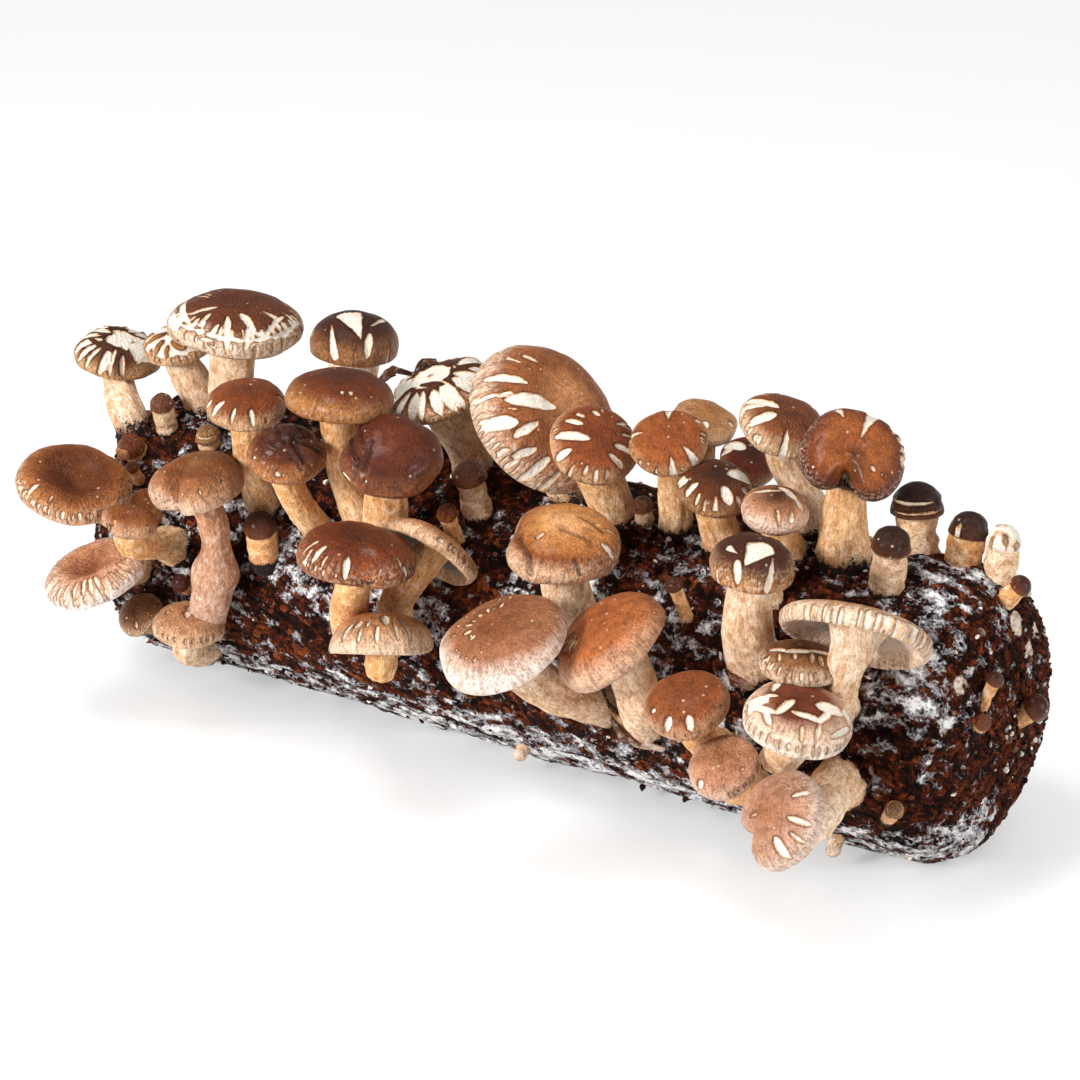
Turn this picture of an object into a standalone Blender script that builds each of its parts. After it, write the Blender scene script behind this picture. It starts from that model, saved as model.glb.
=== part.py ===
"""Shiitake fruiting log: a packed sawdust log lying down, with mushrooms of every age growing from it.

The log lies along X with its flattened underside on the XY plane and the origin
under its middle. +X is the log's near end, -Y its front and +Z up. Each grown
mushroom is a cap and a stem; the young ones, whose caps are still closed, are one
solid each, and the pins and buttons belong to the log. Sizes are in millimetres
and angles in degrees up to the point where a mesh is made.
"""

import math
from collections import namedtuple

import bmesh
import bpy
from mathutils import Matrix, Vector, noise

MM = 0.001

# The log
LOG_LENGTH = 362.0
LOG_RADIUS = 51.0
LOG_AXIS_HEIGHT = 48.0
LOG_END_ROUNDING = 24.0
LOG_END_BULGE = 3.0
LOG_RINGS = 14
LOG_SIDES = 22
LUMP_HEIGHT = 1.5
LUMP_SPACING = 34.0
FOOT_DEPTH = 9.0
GAP = 0.3

# Caps and stems
CAP_SIDES = 12
STEM_POINTS = 4
STEM_NECK = 2.5
STEM_RISE = 0.5
STEM_BEND = 0.3
STEM_SWELL_AT = 0.45
HEXAGON_FILL = 1.05
HUB_RISE = 1.0
HUB_MARGIN = 1.4
RIM_EDGE_WIDTH = 0.9
RIM_EDGE_DROP = 0.03
NOTCH_WIDTH = 0.5
DIP_WIDTH = 0.5
SWELL_LENGTH = 0.2
PIN_SIDES = 6
PIN_DEPTH = 4.0

# A cap's outline from its top to its rim, in fractions of its radius and of its height
CAP_OUTLINE = ((0.0, 1.0), (0.55, 0.88), (0.88, 0.52), (1.0, 0.14))

# A pin's outline down from its tip, in radii of its head: how far out and how far down
HEAD_OUTLINE = ((0.0, 0.0), (0.72, 0.22), (1.0, 0.8))
HEAD_DEPTH = 1.3

# Where a foot stands: mm along the log from its middle, and degrees round it from
# the top towards the front. cap is the middle of the rim, facing the azimuth and
# the tilt from upright of the cap's top, stem the radius under the cap and at the
# foot. oval is (narrowing, direction), notch (direction, depth), and dip is how far
# the middle of the cap has sunk. beside names the grown mushroom whose stem it
# presses on, and via pushes the middle of a bent stem aside.
Grown = namedtuple(
    "Grown",
    "foot cap facing radius height stem dip oval notch swell beside via",
    defaults=(0.0, (1.0, 0), None, 0.0, 0, (0, 0, 0)),
)

MATURE = {
    1: Grown((-168, 31), (-184, -14, 113), (-20, 16), 16.0, 8.0, (5.5, 6.5), notch=(-40, 0.16)),
    2: Grown((-132, 14), (-127, -15, 135), (0, 6), 24.0, 11.0, (8.0, 8.5)),
    3: Grown((-96, 51), (-93, -53, 123), (-50, 15), 14.5, 7.0, (5.0, 6.0)),
    4: Grown((-54, 47), (-55, -49, 132), (45, 4), 19.5, 9.0, (6.0, 6.5)),
    5: Grown((-37, 58), (-29, -56, 118), (-50, 29), 17.5, 10.5, (7.0, 8.0), notch=(-165, 0.10)),
    6: Grown((-157, 68), (-156, -74, 87), (-30, 21), 20.8, 8.0, (6.0, 6.5), dip=5.0),
    7: Grown((-146, 88), (-148, -75, 54), (-109, 20), 19.5, 7.0, (5.5, 6.0), dip=2.5),
    8: Grown(
        (-116, 107), (-105, -67, 94), (-118, 26), 17.0, 8.0, (5.0, 5.5),
        dip=1.5, notch=(-135, 0.38), swell=2.2, via=(6, 4, 0),
    ),
    9: Grown((-45, 91), (-24, -83, 91), (10, 6), 21.0, 10.5, (6.0, 6.5), dip=1.0, oval=(0.94, 90)),
    10: Grown((-30, 80), (-12, -57, 87), (58, 51), 18.0, 7.0, (5.5, 6.0)),
    11: Grown((-43, 108), (-14, -83, 60), (123, 21), 18.0, 12.5, (5.0, 5.5)),
    12: Grown((-27, 9), (-37, -16, 128), (-135, 20), 20.0, 7.0, (7.5, 6.5), notch=(-150, 0.18)),
    13: Grown((15, 12), (4, -11, 124), (-7, 46), 29.0, 17.0, (6.5, 7.5), dip=1.0),
    14: Grown((36, 17), (36, -28, 127), (-35, 34), 15.5, 8.0, (7.0, 8.0)),
    15: Grown((46, 68), (45, -62, 104), (-57, 13), 19.5, 10.0, (8.0, 8.0), notch=(-160, 0.14)),
    16: Grown((57, 94), (45, -96, 81), (-120, 28), 23.0, 10.0, (7.5, 6.0), oval=(0.9, 90)),
    17: Grown((74, 96), (73, -76, 81), (-140, 43), 23.0, 11.0, (8.0, 6.0), oval=(0.84, 90)),
    18: Grown((60, 15), (62, -22, 131), (-67, 37), 13.2, 7.0, (4.6, 5.5)),
    19: Grown((104, -6), (93, 0, 136), (-18, 21), 15.2, 7.5, (5.0, 6.0)),
    20: Grown((122, 9), (124, -9, 135), (-50, 41), 17.6, 8.0, (4.6, 9.5), notch=(-62, 0.36)),
    21: Grown((143, 70), (154, -59, 98), (106, 40), 25.5, 6.5, (6.5, 7.0), oval=(0.92, 90)),
    22: Grown((126, 93), (147, -84, 75), (-20, 12), 17.2, 9.0, (6.2, 6.2)),
}

YOUNG = {
    1: Grown((-148, 11), (-156, -13, 122), (-105, 9), 13.0, 6.5, (6.0, 6.5)),
    2: Grown((-91, -4), (-88, 5, 130), (21, 3), 16.5, 11.5, (9.0, 9.5)),
    3: Grown((-69, 57), (-65, -67, 115), (-37, 18), 13.5, 8.5, (5.5, 5.5)),
    4: Grown((-131, 77), (-121, -86, 84), (6, 10), 10.5, 5.0, (4.5, 5.5), notch=(-170, 0.16)),
    5: Grown((-143, 113), (-139, -61, 35), (-97, 33), 9.0, 4.5, (4.0, 4.5)),
    6: Grown((-125, 124), (-115, -63, 37), (-29, 9), 13.0, 6.5, (5.0, 6.0), beside=8),
    7: Grown((48, -24), (46, 28, 120), (-20, 19), 12.0, 5.0, (5.0, 5.5)),
    8: Grown((80, 18), (80, -23, 119), (-47, 19), 12.7, 7.0, (6.0, 6.5)),
    9: Grown((67, -24), (66, 25, 110), (-33, 27), 10.5, 6.0, (4.5, 5.0)),
    10: Grown((104, 16), (103, -22, 116), (-47, 16), 11.5, 6.0, (5.0, 6.5)),
    11: Grown((110, 61), (118, -63, 113), (-8, 5), 14.0, 10.0, (7.0, 9.5)),
    12: Grown((130, 67), (138, -66, 86), (51, 4), 13.5, 5.5, (4.0, 4.5), beside=21),
    13: Grown((102, 98), (108, -85, 71), (-86, 27), 13.5, 7.0, (5.5, 6.0)),
    14: Grown((115, 110), (123, -87, 54), (-92, 35), 12.0, 6.5, (5.0, 6.0)),
    15: Grown((147, 99), (150, -97, 47), (-118, 55), 16.5, 8.0, (7.0, 8.5), notch=(-142, 0.34)),
}

# Pins and buttons: the root on the log and the tip, then the radii of head and stem.
Pin = namedtuple("Pin", "root tip head stem")
PINS = (
    Pin((-154, -23, 92), (-152, -29, 108), 4.5, 4.0),
    Pin((-142, -45, 70), (-141, -53, 80), 5.0, 4.5),
    Pin((-125, -50, 45), (-124, -58, 51), 3.5, 3.0),
    Pin((-91, -48, 64), (-89, -53, 83), 6.0, 6.0),
    Pin((-132, -26, 91), (-131, -29, 100), 4.5, 4.5),
    Pin((-161, -32, 84), (-160, -40, 92), 5.0, 5.0),
    Pin((-154, -40, 77), (-152, -48, 87), 2.6, 2.2),
    Pin((-15, -37, 83), (-15, -43, 99), 3.8, 3.0),
    Pin((-12, -27, 91), (-13, -33, 112), 6.0, 5.0),
    Pin((81, -40, 78), (79, -48, 95), 3.2, 2.2),
    Pin((48, -14, 97), (48, -17, 107), 3.8, 2.8),
    Pin((107, -31, 87), (109, -37, 112), 5.6, 4.0),
    Pin((142, -16, 95), (145, -19, 118), 6.6, 5.8),
    Pin((139, 12, 96), (137, 13, 122), 8.9, 6.8),
    Pin((155, 12, 95), (157, 15, 115), 6.8, 6.6),
    Pin((168, 14, 88), (169, 15, 113), 6.2, 5.4),
    Pin((172, 6, 87), (181, 8, 99), 3.8, 3.2),
    Pin((178, -18, 60), (186, -21, 77), 2.9, 2.1),
    Pin((177, 4, 46), (192, 4, 59), 4.8, 3.3),
    Pin((161, -45, 29), (168, -54, 38), 3.2, 2.5),
    Pin((138, -35, 12), (138, -41, 6), 4.4, 4.0),
    Pin((12, -34, 12), (12, -39, 7), 3.8, 3.4),
)

BROWN_CAP = (0.22, 0.08, 0.035, 1.0)
DARK_CAP = (0.10, 0.035, 0.02, 1.0)
CREAM_STEM = (0.66, 0.47, 0.30, 1.0)
BLACK_SAWDUST = (0.045, 0.02, 0.013, 1.0)


def clear_scene():
    for thing in list(bpy.data.objects):
        bpy.data.objects.remove(thing, do_unlink=True)


def new_collection(name):
    collection = bpy.data.collections.new(name)
    bpy.context.scene.collection.children.link(collection)
    return collection


def skin(name, colour, roughness):
    material = bpy.data.materials.new(name)
    material.use_nodes = True
    shader = material.node_tree.nodes["Principled BSDF"]
    shader.inputs["Base Color"].default_value = colour
    shader.inputs["Roughness"].default_value = roughness
    return material


def add_object(name, mesh, collection, material=None):
    thing = bpy.data.objects.new(name, mesh)
    collection.objects.link(thing)
    if material:
        mesh.materials.clear()
        mesh.materials.append(material)
    return thing


def add_cutter(name, mesh, cutters):
    cutter = add_object(name, mesh, cutters)
    cutter.hide_render = True
    cutter.display_type = "WIRE"
    return cutter


def baked(source, name):
    """The mesh of an object with its modifiers applied; the object itself is removed."""
    bpy.context.view_layer.update()
    mesh = bpy.data.meshes.new_from_object(source.evaluated_get(bpy.context.evaluated_depsgraph_get()))
    mesh.name = name
    bpy.data.objects.remove(source, do_unlink=True)
    return mesh


def turned(name, profile, sides, axis="Z"):
    """A closed mesh turned from an outline of (distance from the axis, height) in mm, top first."""
    mesh = bpy.data.meshes.new(name + "_outline")
    if axis == "Z":
        corners = [Vector((out, 0, height)) * MM for out, height in profile]
    else:
        corners = [Vector((height, 0, out)) * MM for out, height in profile]
    mesh.from_pydata(corners, [(i, i + 1) for i in range(len(corners) - 1)], [])
    outline = bpy.data.objects.new(name + "_outline", mesh)
    bpy.context.scene.collection.objects.link(outline)
    screw = outline.modifiers.new("turn", "SCREW")
    screw.axis = axis
    screw.steps = sides
    screw.render_steps = sides
    screw.use_merge_vertices = True
    screw.merge_threshold = 0.0001
    solid = baked(outline, name)
    facing_out(solid)
    return solid


def facing_out(mesh):
    shape = bmesh.new()
    shape.from_mesh(mesh)
    bmesh.ops.remove_doubles(shape, verts=shape.verts, dist=0.00001)
    bmesh.ops.recalc_face_normals(shape, faces=shape.faces)
    shape.to_mesh(mesh)
    shape.free()


def combine(base, other, operation):
    """Adds or cuts the other object on the base and keeps the result as the base's mesh."""
    boolean = base.modifiers.new(operation.lower(), "BOOLEAN")
    boolean.operation = operation
    boolean.solver = "EXACT"
    boolean.object = other
    bpy.context.view_layer.update()
    mesh = bpy.data.meshes.new_from_object(base.evaluated_get(bpy.context.evaluated_depsgraph_get()))
    base.modifiers.clear()
    base.data = mesh


def round_smooth(thing, angle=40):
    thing.data.shade_smooth()
    thing.data.set_sharp_from_angle(angle=math.radians(angle))


def facing_vector(facing):
    azimuth, tilt = (math.radians(angle) for angle in facing)
    return Vector((math.sin(tilt) * math.cos(azimuth), math.sin(tilt) * math.sin(azimuth), math.cos(tilt)))


def cap_placement(grown):
    """The cap stands on its rim's middle, its top turned to the azimuth and leant over by the tilt."""
    azimuth, tilt = (math.radians(angle) for angle in grown.facing)
    turned_to = Matrix.Rotation(azimuth, 4, "Z")
    leant = turned_to @ Matrix.Rotation(tilt, 4, "Y") @ turned_to.inverted()
    return Matrix.Translation(Vector(grown.cap) * MM) @ leant


def log_profile(swell):
    """Half the log's outline in mm, from the near end's middle along the side to the far end's."""
    half = LOG_LENGTH / 2
    radius = LOG_RADIUS + swell
    flat = radius - LOG_END_ROUNDING
    near = [(0.0, half + LOG_END_BULGE + swell), (flat * 0.55, half + LOG_END_BULGE * 0.7 + swell)]
    for quarter in range(4):
        turn = math.radians(90 - 30 * quarter)
        along = half - LOG_END_ROUNDING + (LOG_END_ROUNDING + swell) * math.sin(turn)
        near.append((flat + (LOG_END_ROUNDING) * math.cos(turn), along))
    first = half - LOG_END_ROUNDING
    middle = [(radius, first * (1 - 2 * i / (LOG_RINGS - 1))) for i in range(1, LOG_RINGS - 1)]
    far = [(out, -along) for out, along in reversed(near)]
    return near + middle + far


def lump(point):
    """How far the sawdust bulges in mm at a point of the log."""
    return LUMP_HEIGHT * noise.noise(point / (LUMP_SPACING * MM))


def log_mesh(name, swell):
    """The log, lumpy, lying on its flattened underside."""
    mesh = turned(name, log_profile(swell), LOG_SIDES, "X")
    for vertex in mesh.vertices:
        outward = Vector((0, vertex.co.y, vertex.co.z))
        if outward.length > 0.001:
            vertex.co += outward.normalized() * lump(vertex.co) * MM
        vertex.co.z += LOG_AXIS_HEIGHT * MM
    shape = bmesh.new()
    shape.from_mesh(mesh)
    everything = shape.verts[:] + shape.edges[:] + shape.faces[:]
    floor = Vector((0, 0, -swell * MM))
    cut = bmesh.ops.bisect_plane(shape, geom=everything, plane_co=floor, plane_no=(0, 0, 1), clear_inner=True)
    rim = [edge for edge in cut["geom_cut"] if isinstance(edge, bmesh.types.BMEdge)]
    bmesh.ops.contextual_create(shape, geom=rim)
    bmesh.ops.recalc_face_normals(shape, faces=shape.faces)
    shape.to_mesh(mesh)
    shape.free()
    return mesh


def surface_point(foot, depth=0.0):
    """A point of the log's surface, or so many mm under it, in mm."""
    along, around = foot
    turn = math.radians(around)
    out = LOG_RADIUS - depth
    return Vector((along, -out * math.sin(turn), LOG_AXIS_HEIGHT + out * math.cos(turn)))


def press_out_of_round(mesh, grown):
    """Gives a turned cap its sunken middle, its oval rim and its notch."""
    squeeze, squeeze_way = grown.oval
    across = Vector((math.cos(math.radians(squeeze_way)), math.sin(math.radians(squeeze_way)), 0))
    for vertex in mesh.vertices:
        out = math.hypot(vertex.co.x, vertex.co.y) / (grown.radius * MM)
        if vertex.co.z > HUB_RISE * MM * 1.01:
            vertex.co.z -= grown.dip * MM * math.exp(-((out / DIP_WIDTH) ** 2))
        if grown.notch:
            way, depth = grown.notch
            off = math.atan2(vertex.co.y, vertex.co.x) - math.radians(way)
            off = math.atan2(math.sin(off), math.cos(off))
            pull = 1 - depth * math.exp(-((off / NOTCH_WIDTH) ** 2)) * out * out
            vertex.co.x *= pull
            vertex.co.y *= pull
        vertex.co -= across * (vertex.co.dot(across) * (1 - squeeze))


def cap_mesh(name, grown):
    radius, height = grown.radius, grown.height
    hub = grown.stem[0] + HUB_MARGIN
    profile = [(radius * out, height * up) for out, up in CAP_OUTLINE]
    profile += [(radius * RIM_EDGE_WIDTH, -radius * RIM_EDGE_DROP), (hub, HUB_RISE), (0.0, HUB_RISE)]
    mesh = turned(name, profile, CAP_SIDES)
    press_out_of_round(mesh, grown)
    return mesh


def stem_path(grown, reach):
    """Points in mm of the stem's middle line: straight out of the log, then curving in under the cap."""
    start = surface_point(grown.foot)
    top = facing_vector(grown.facing)
    end = Vector(grown.cap) + top * reach
    out_of_log = (start - surface_point(grown.foot, LOG_RADIUS)).normalized()
    span = (end - start).length
    neck = end - top * STEM_NECK
    leaving = (out_of_log + Vector((0, 0, STEM_RISE))).normalized()
    near_foot = start + leaving * span * STEM_BEND + Vector(grown.via)
    near_cap = neck - top * span * STEM_BEND + Vector(grown.via)
    path = [surface_point(grown.foot, FOOT_DEPTH)]
    for step in range(STEM_POINTS):
        t = step / (STEM_POINTS - 1)
        s = 1 - t
        path.append(start * s**3 + near_foot * 3 * s * s * t + near_cap * 3 * s * t * t + neck * t**3)
    path.append(end)
    return path


def stem_mesh(name, grown, reach, swollen=0.0):
    """A bent tube with filled ends, thicker at one end and swollen on the way where the table says so."""
    path = stem_path(grown, reach)
    curve = bpy.data.curves.new(name + "_line", "CURVE")
    curve.dimensions = "3D"
    curve.bevel_depth = MM
    curve.bevel_resolution = 1
    curve.use_fill_caps = True
    line = curve.splines.new("POLY")
    line.points.add(len(path) - 1)
    thin, thick = grown.stem
    for i, (point, place) in enumerate(zip(line.points, path)):
        t = i / (len(path) - 1)
        point.co = (*(place * MM), 1)
        swelling = grown.swell * math.exp(-(((t - STEM_SWELL_AT) / SWELL_LENGTH) ** 2))
        point.radius = HEXAGON_FILL * (thick + (thin - thick) * t + swelling) + swollen
    tube = bpy.data.objects.new(name + "_line", curve)
    bpy.context.scene.collection.objects.link(tube)
    mesh = baked(tube, name)
    facing_out(mesh)
    return mesh


def pins_mesh(name):
    """All the pins and buttons, each a small stalk with a rounded head, as one mesh of separate bodies."""
    together = bmesh.new()
    for pin in PINS:
        root, tip = Vector(pin.root), Vector(pin.tip)
        length = (tip - root).length
        profile = [(pin.head * out, length - pin.head * down) for out, down in HEAD_OUTLINE]
        profile += [(pin.stem, length - pin.head * HEAD_DEPTH), (pin.stem, -PIN_DEPTH), (0.0, -PIN_DEPTH)]
        stalk = turned("pin", profile, PIN_SIDES)
        lean = Vector((0, 0, 1)).rotation_difference(tip - root).to_matrix().to_4x4()
        stalk.transform(Matrix.Translation(root * MM) @ lean)
        together.from_mesh(stalk)
    mesh = bpy.data.meshes.new(name)
    together.to_mesh(mesh)
    together.free()
    return mesh


def build_log(parts, cutters):
    log = add_object("log", log_mesh("log", 0.0), parts)
    combine(log, add_cutter("pins", pins_mesh("pins"), cutters), "UNION")
    log.data.materials.clear()
    log.data.materials.append(skin("sawdust", BLACK_SAWDUST, 0.9))
    round_smooth(log)


def build_mature(number, grown, parts, hollow):
    stem = add_object(f"stem_{number:02d}", stem_mesh("stem", grown, HUB_RISE - GAP), parts)
    combine(stem, hollow, "DIFFERENCE")
    stem.data.materials.clear()
    stem.data.materials.append(skin(f"stem_{number:02d}", CREAM_STEM, 0.8))
    leather = skin(f"cap_{number:02d}", BROWN_CAP, 0.5)
    cap = add_object(f"cap_{number:02d}", cap_mesh("cap", grown), parts, leather)
    cap.matrix_world = cap_placement(grown)
    round_smooth(stem)
    round_smooth(cap, 60)


def build_young(number, grown, parts, cutters, hollow):
    """A young mushroom: the cap is still closed round the top of the stem, so both are one solid."""
    mesh = cap_mesh("young", grown)
    mesh.transform(cap_placement(grown))
    mushroom = add_object(f"young_{number:02d}", mesh, parts)
    foot = add_cutter(f"young_{number:02d}_stem", stem_mesh("stem", grown, grown.height * 0.45), cutters)
    combine(mushroom, foot, "UNION")
    combine(mushroom, hollow, "DIFFERENCE")
    if grown.beside:
        neighbour = stem_mesh("beside", MATURE[grown.beside], HUB_RISE - GAP, 2 * GAP)
        combine(mushroom, add_cutter(f"young_{number:02d}_beside", neighbour, cutters), "DIFFERENCE")
    mushroom.data.materials.clear()
    mushroom.data.materials.append(skin(f"young_{number:02d}", DARK_CAP, 0.5))
    round_smooth(mushroom, 60)


def main():
    clear_scene()
    parts = new_collection("shiitake_log")
    cutters = new_collection("cutters")
    hollow = add_cutter("hollow", log_mesh("hollow", GAP), cutters)
    build_log(parts, cutters)
    for number, grown in MATURE.items():
        build_mature(number, grown, parts, hollow)
    for number, grown in YOUNG.items():
        build_young(number, grown, parts, cutters, hollow)


main()
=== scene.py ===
# %% [markdown]
# # A shiitake log, dressed over its construction model
# A shiitake log is a bag-shaped block of packed sawdust that the fungus has grown
# through. Mushrooms of every age push out of it. The construction model holds where
# everything stands, and this lesson gives each mushroom its true skin, cracks and
# fibres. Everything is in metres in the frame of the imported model, which is loaded
# first and never changed.

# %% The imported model
import math
from collections import namedtuple

import bpy
import numpy as np
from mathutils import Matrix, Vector, noise

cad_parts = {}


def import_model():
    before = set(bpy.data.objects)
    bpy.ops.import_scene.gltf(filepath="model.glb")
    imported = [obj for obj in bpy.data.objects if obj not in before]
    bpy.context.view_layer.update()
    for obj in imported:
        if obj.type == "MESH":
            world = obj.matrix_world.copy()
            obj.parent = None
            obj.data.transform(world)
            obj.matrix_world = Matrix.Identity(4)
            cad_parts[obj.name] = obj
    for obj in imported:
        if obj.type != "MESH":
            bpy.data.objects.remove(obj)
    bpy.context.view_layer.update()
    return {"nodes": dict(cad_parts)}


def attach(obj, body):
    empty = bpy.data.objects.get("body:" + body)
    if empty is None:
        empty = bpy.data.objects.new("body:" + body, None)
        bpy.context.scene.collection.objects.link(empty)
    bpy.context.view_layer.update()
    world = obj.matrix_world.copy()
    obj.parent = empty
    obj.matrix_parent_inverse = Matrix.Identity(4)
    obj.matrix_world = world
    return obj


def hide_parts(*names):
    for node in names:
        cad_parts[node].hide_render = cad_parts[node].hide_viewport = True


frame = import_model()
MM = 0.001
print("packed nodes:", len(frame["nodes"]))

# %% [markdown]
# ## The camera
# The photograph was taken with a long lens from a little above, so the log looks
# long and its ends hardly shrink. A camera object can be aimed by a constraint, but
# three axes written straight into its matrix are exact. The back axis points from
# the log to the camera.

# %% The camera at the photograph's angle
VIEW_AZIMUTH = math.radians(33.2)
VIEW_HEIGHT = math.radians(22.3)
VIEW_DISTANCE = 1.214
AIM = Vector((0, 0, 0.050))
SLID_LEFT = 0.0035
SLID_UP = 0.0230
LENS = 113.1

right = Vector((math.cos(VIEW_AZIMUTH), math.sin(VIEW_AZIMUTH), 0))
back = Vector((
    math.sin(VIEW_AZIMUTH) * math.cos(VIEW_HEIGHT),
    -math.cos(VIEW_AZIMUTH) * math.cos(VIEW_HEIGHT),
    math.sin(VIEW_HEIGHT),
))
camera = bpy.data.objects.new("camera", bpy.data.cameras.new("camera"))
bpy.context.scene.collection.objects.link(camera)
camera.data.lens = LENS
camera.rotation_mode = "QUATERNION"
camera.location = AIM + back * VIEW_DISTANCE - right * SLID_LEFT + back.cross(right) * SLID_UP
camera.rotation_quaternion = (-back).to_track_quat("-Z", "Y")
bpy.context.scene.camera = camera
print("camera at", [round(value, 3) for value in camera.location])

# %% [markdown]
# ## Light and floor
# The log stands on a white table under soft boxes, so the picture has no hard
# shadow and the background is pure white. Large area lights and a white world give
# that. The Standard view keeps colours as they are set, and a white table stays
# white.

# %% Floor, world and lights
WORLD_LIGHT = 0.20
TABLE_SIZE = 12


def nothing_selected():
    bpy.ops.object.select_all(action="DESELECT")


def soft_box(name, place, size, watts):
    light = bpy.data.objects.new(name, bpy.data.lights.new(name, "AREA"))
    light.data.size = size
    light.data.energy = watts
    bpy.context.scene.collection.objects.link(light)
    light.location = place
    light.rotation_mode = "QUATERNION"
    light.rotation_quaternion = (AIM - place).to_track_quat("-Z", "Y")


bpy.context.scene.view_settings.view_transform = "Standard"
world = bpy.data.worlds.new("studio")
world.use_nodes = True
sky = world.node_tree.nodes["Background"].inputs
sky["Color"].default_value = (1, 1, 1, 1)
sky["Strength"].default_value = WORLD_LIGHT
bpy.context.scene.world = world
front = Vector((back.x, back.y, 0)).normalized()
soft_box("overhead", Vector((0, 0, 1.5)) + front * 0.1 - right * 0.4, 0.5, 13.0)
soft_box("left_front", front * 0.9 - right * 1.1 + Vector((0, 0, 0.65)), 0.36, 26.0)
soft_box("right_front", front * 0.7 + right * 1.2 + Vector((0, 0, 0.6)), 0.5, 10.0)

nothing_selected()
bpy.ops.mesh.primitive_plane_add(size=TABLE_SIZE)
floor = bpy.context.object
floor.name = "table"
print("lights and table ready")

# %% [markdown]
# ## A small language for shaders
# A pattern on a surface is arithmetic on textures. Written as nodes it fills a
# screen, and written as sums it fills a line. The Wire class below holds one socket
# and turns the signs + - * / into Math nodes. The Finish class makes a material and
# adds every other node through one method.

# %% Wires and finishes
class Wire:
    """One output socket, on which arithmetic adds Math nodes."""

    def __init__(self, finish, socket):
        self.finish = finish
        self.socket = socket

    def maths(self, operation, *values):
        return self.finish.add("ShaderNodeMath", {"operation": operation}, dict(enumerate(values)))

    def __add__(self, other):
        return self.maths("ADD", self, other)

    def __radd__(self, other):
        return self.maths("ADD", other, self)

    def __sub__(self, other):
        return self.maths("SUBTRACT", self, other)

    def __rsub__(self, other):
        return self.maths("SUBTRACT", other, self)

    def __mul__(self, other):
        return self.maths("MULTIPLY", self, other)

    def __rmul__(self, other):
        return self.maths("MULTIPLY", other, self)

    def __truediv__(self, other):
        return self.maths("DIVIDE", self, other)

    def beside(self, out):
        """Another output of the same node."""
        return Wire(self.finish, self.socket.node.outputs[out])

    def step(self, low, high):
        """0 below low, 1 above high and smooth between."""
        ends = {"Value": self, "From Min": low, "From Max": high}
        return self.finish.add("ShaderNodeMapRange", {"interpolation_type": "SMOOTHSTEP"}, ends)


class Finish:
    """A material and the nodes in it."""

    def __init__(self, name, roughness=0.6, specular=0.5):
        self.material = bpy.data.materials.new(name)
        self.material.use_nodes = True
        self.tree = self.material.node_tree
        self.give("Roughness", roughness)
        self.give("Specular IOR Level", specular)

    def give(self, name, value):
        """Sets a socket of the shader itself."""
        self.feed(self.tree.nodes["Principled BSDF"].inputs[name], value)

    def feed(self, socket, value):
        if isinstance(value, Wire):
            self.tree.links.new(value.socket, socket)
        else:
            socket.default_value = value

    def add(self, kind, settings=None, sockets=None, out=0):
        node = self.tree.nodes.new(kind)
        for setting, value in (settings or {}).items():
            setattr(node, setting, value)
        for socket, value in (sockets or {}).items():
            self.feed(node.inputs[socket], value)
        return Wire(self, node.outputs[out])

    def attribute(self, name, out="Fac"):
        return self.add("ShaderNodeAttribute", {"attribute_name": name}, out=out)

    def places(self):
        return self.add("ShaderNodeTexCoord", out="Object")

    def at_scale(self, vector, scale):
        """A texture's place and scale. Three scales stretch it along the three axes."""
        if isinstance(scale, tuple):
            stretched = self.add("ShaderNodeVectorMath", {"operation": "MULTIPLY"}, {0: vector, 1: scale})
            return {"Vector": stretched, "Scale": 1.0}
        return {"Vector": vector, "Scale": scale}

    def cloud(self, vector, scale, detail=3.0, roughness=0.55, distortion=0.0):
        more = {"Detail": detail, "Roughness": roughness, "Distortion": distortion}
        return self.add("ShaderNodeTexNoise", None, self.at_scale(vector, scale) | more)

    def cells(self, vector, scale, feature="F1"):
        where = self.at_scale(vector, scale)
        return self.add("ShaderNodeTexVoronoi", {"feature": feature}, where, "Distance")

    def ramp(self, factor, *stops):
        """Colours that stand at places from 0 to 1, such as "0.2 a2a4a4"."""
        wire = self.add("ShaderNodeValToRGB", None, {"Fac": factor})
        ramp = wire.socket.node.color_ramp
        while len(ramp.elements) < len(stops):
            ramp.elements.new(0.5)
        for element, stop in zip(ramp.elements, stops):
            place, code = stop.split()
            element.position = float(place)
            element.color = paint(code)
        return wire

    def mix(self, factor, first, second, blend="MIX"):
        colours = {0: factor, 6: first, 7: second}
        return self.add("ShaderNodeMix", {"data_type": "RGBA", "blend_type": blend}, colours, 2)

    def tinted(self, colour, tint):
        return self.mix(1.0, colour, tint, "MULTIPLY")

    def bump(self, height, distance, strength=0.9):
        relief = {"Strength": strength, "Distance": distance, "Height": height}
        self.give("Normal", self.add("ShaderNodeBump", None, relief))


def paint(code):
    """A colour as six hexadecimal digits, as numbers that light is reckoned in."""
    parts = [int(code[i:i + 2], 16) / 255 for i in (0, 2, 4)]
    return (*[p / 12.92 if p < 0.04045 else ((p + 0.055) / 1.055) ** 2.4 for p in parts], 1.0)


def paints(codes):
    return np.array([paint(code) for code in codes.split()])


print("shader language ready")

# %% [markdown]
# ## The table's finish
# A white table glows by itself as much as the paper behind it. Near the log its glow is dimmed to grey by how
# open the table is to the sky, which paints a soft contact shadow round the log's foot. The table isn't
# sampled as a lamp, because it is far too large for that.

# %% White table
TABLE_GLOW = 0.72
CONTACT_REACH = 0.06

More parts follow.
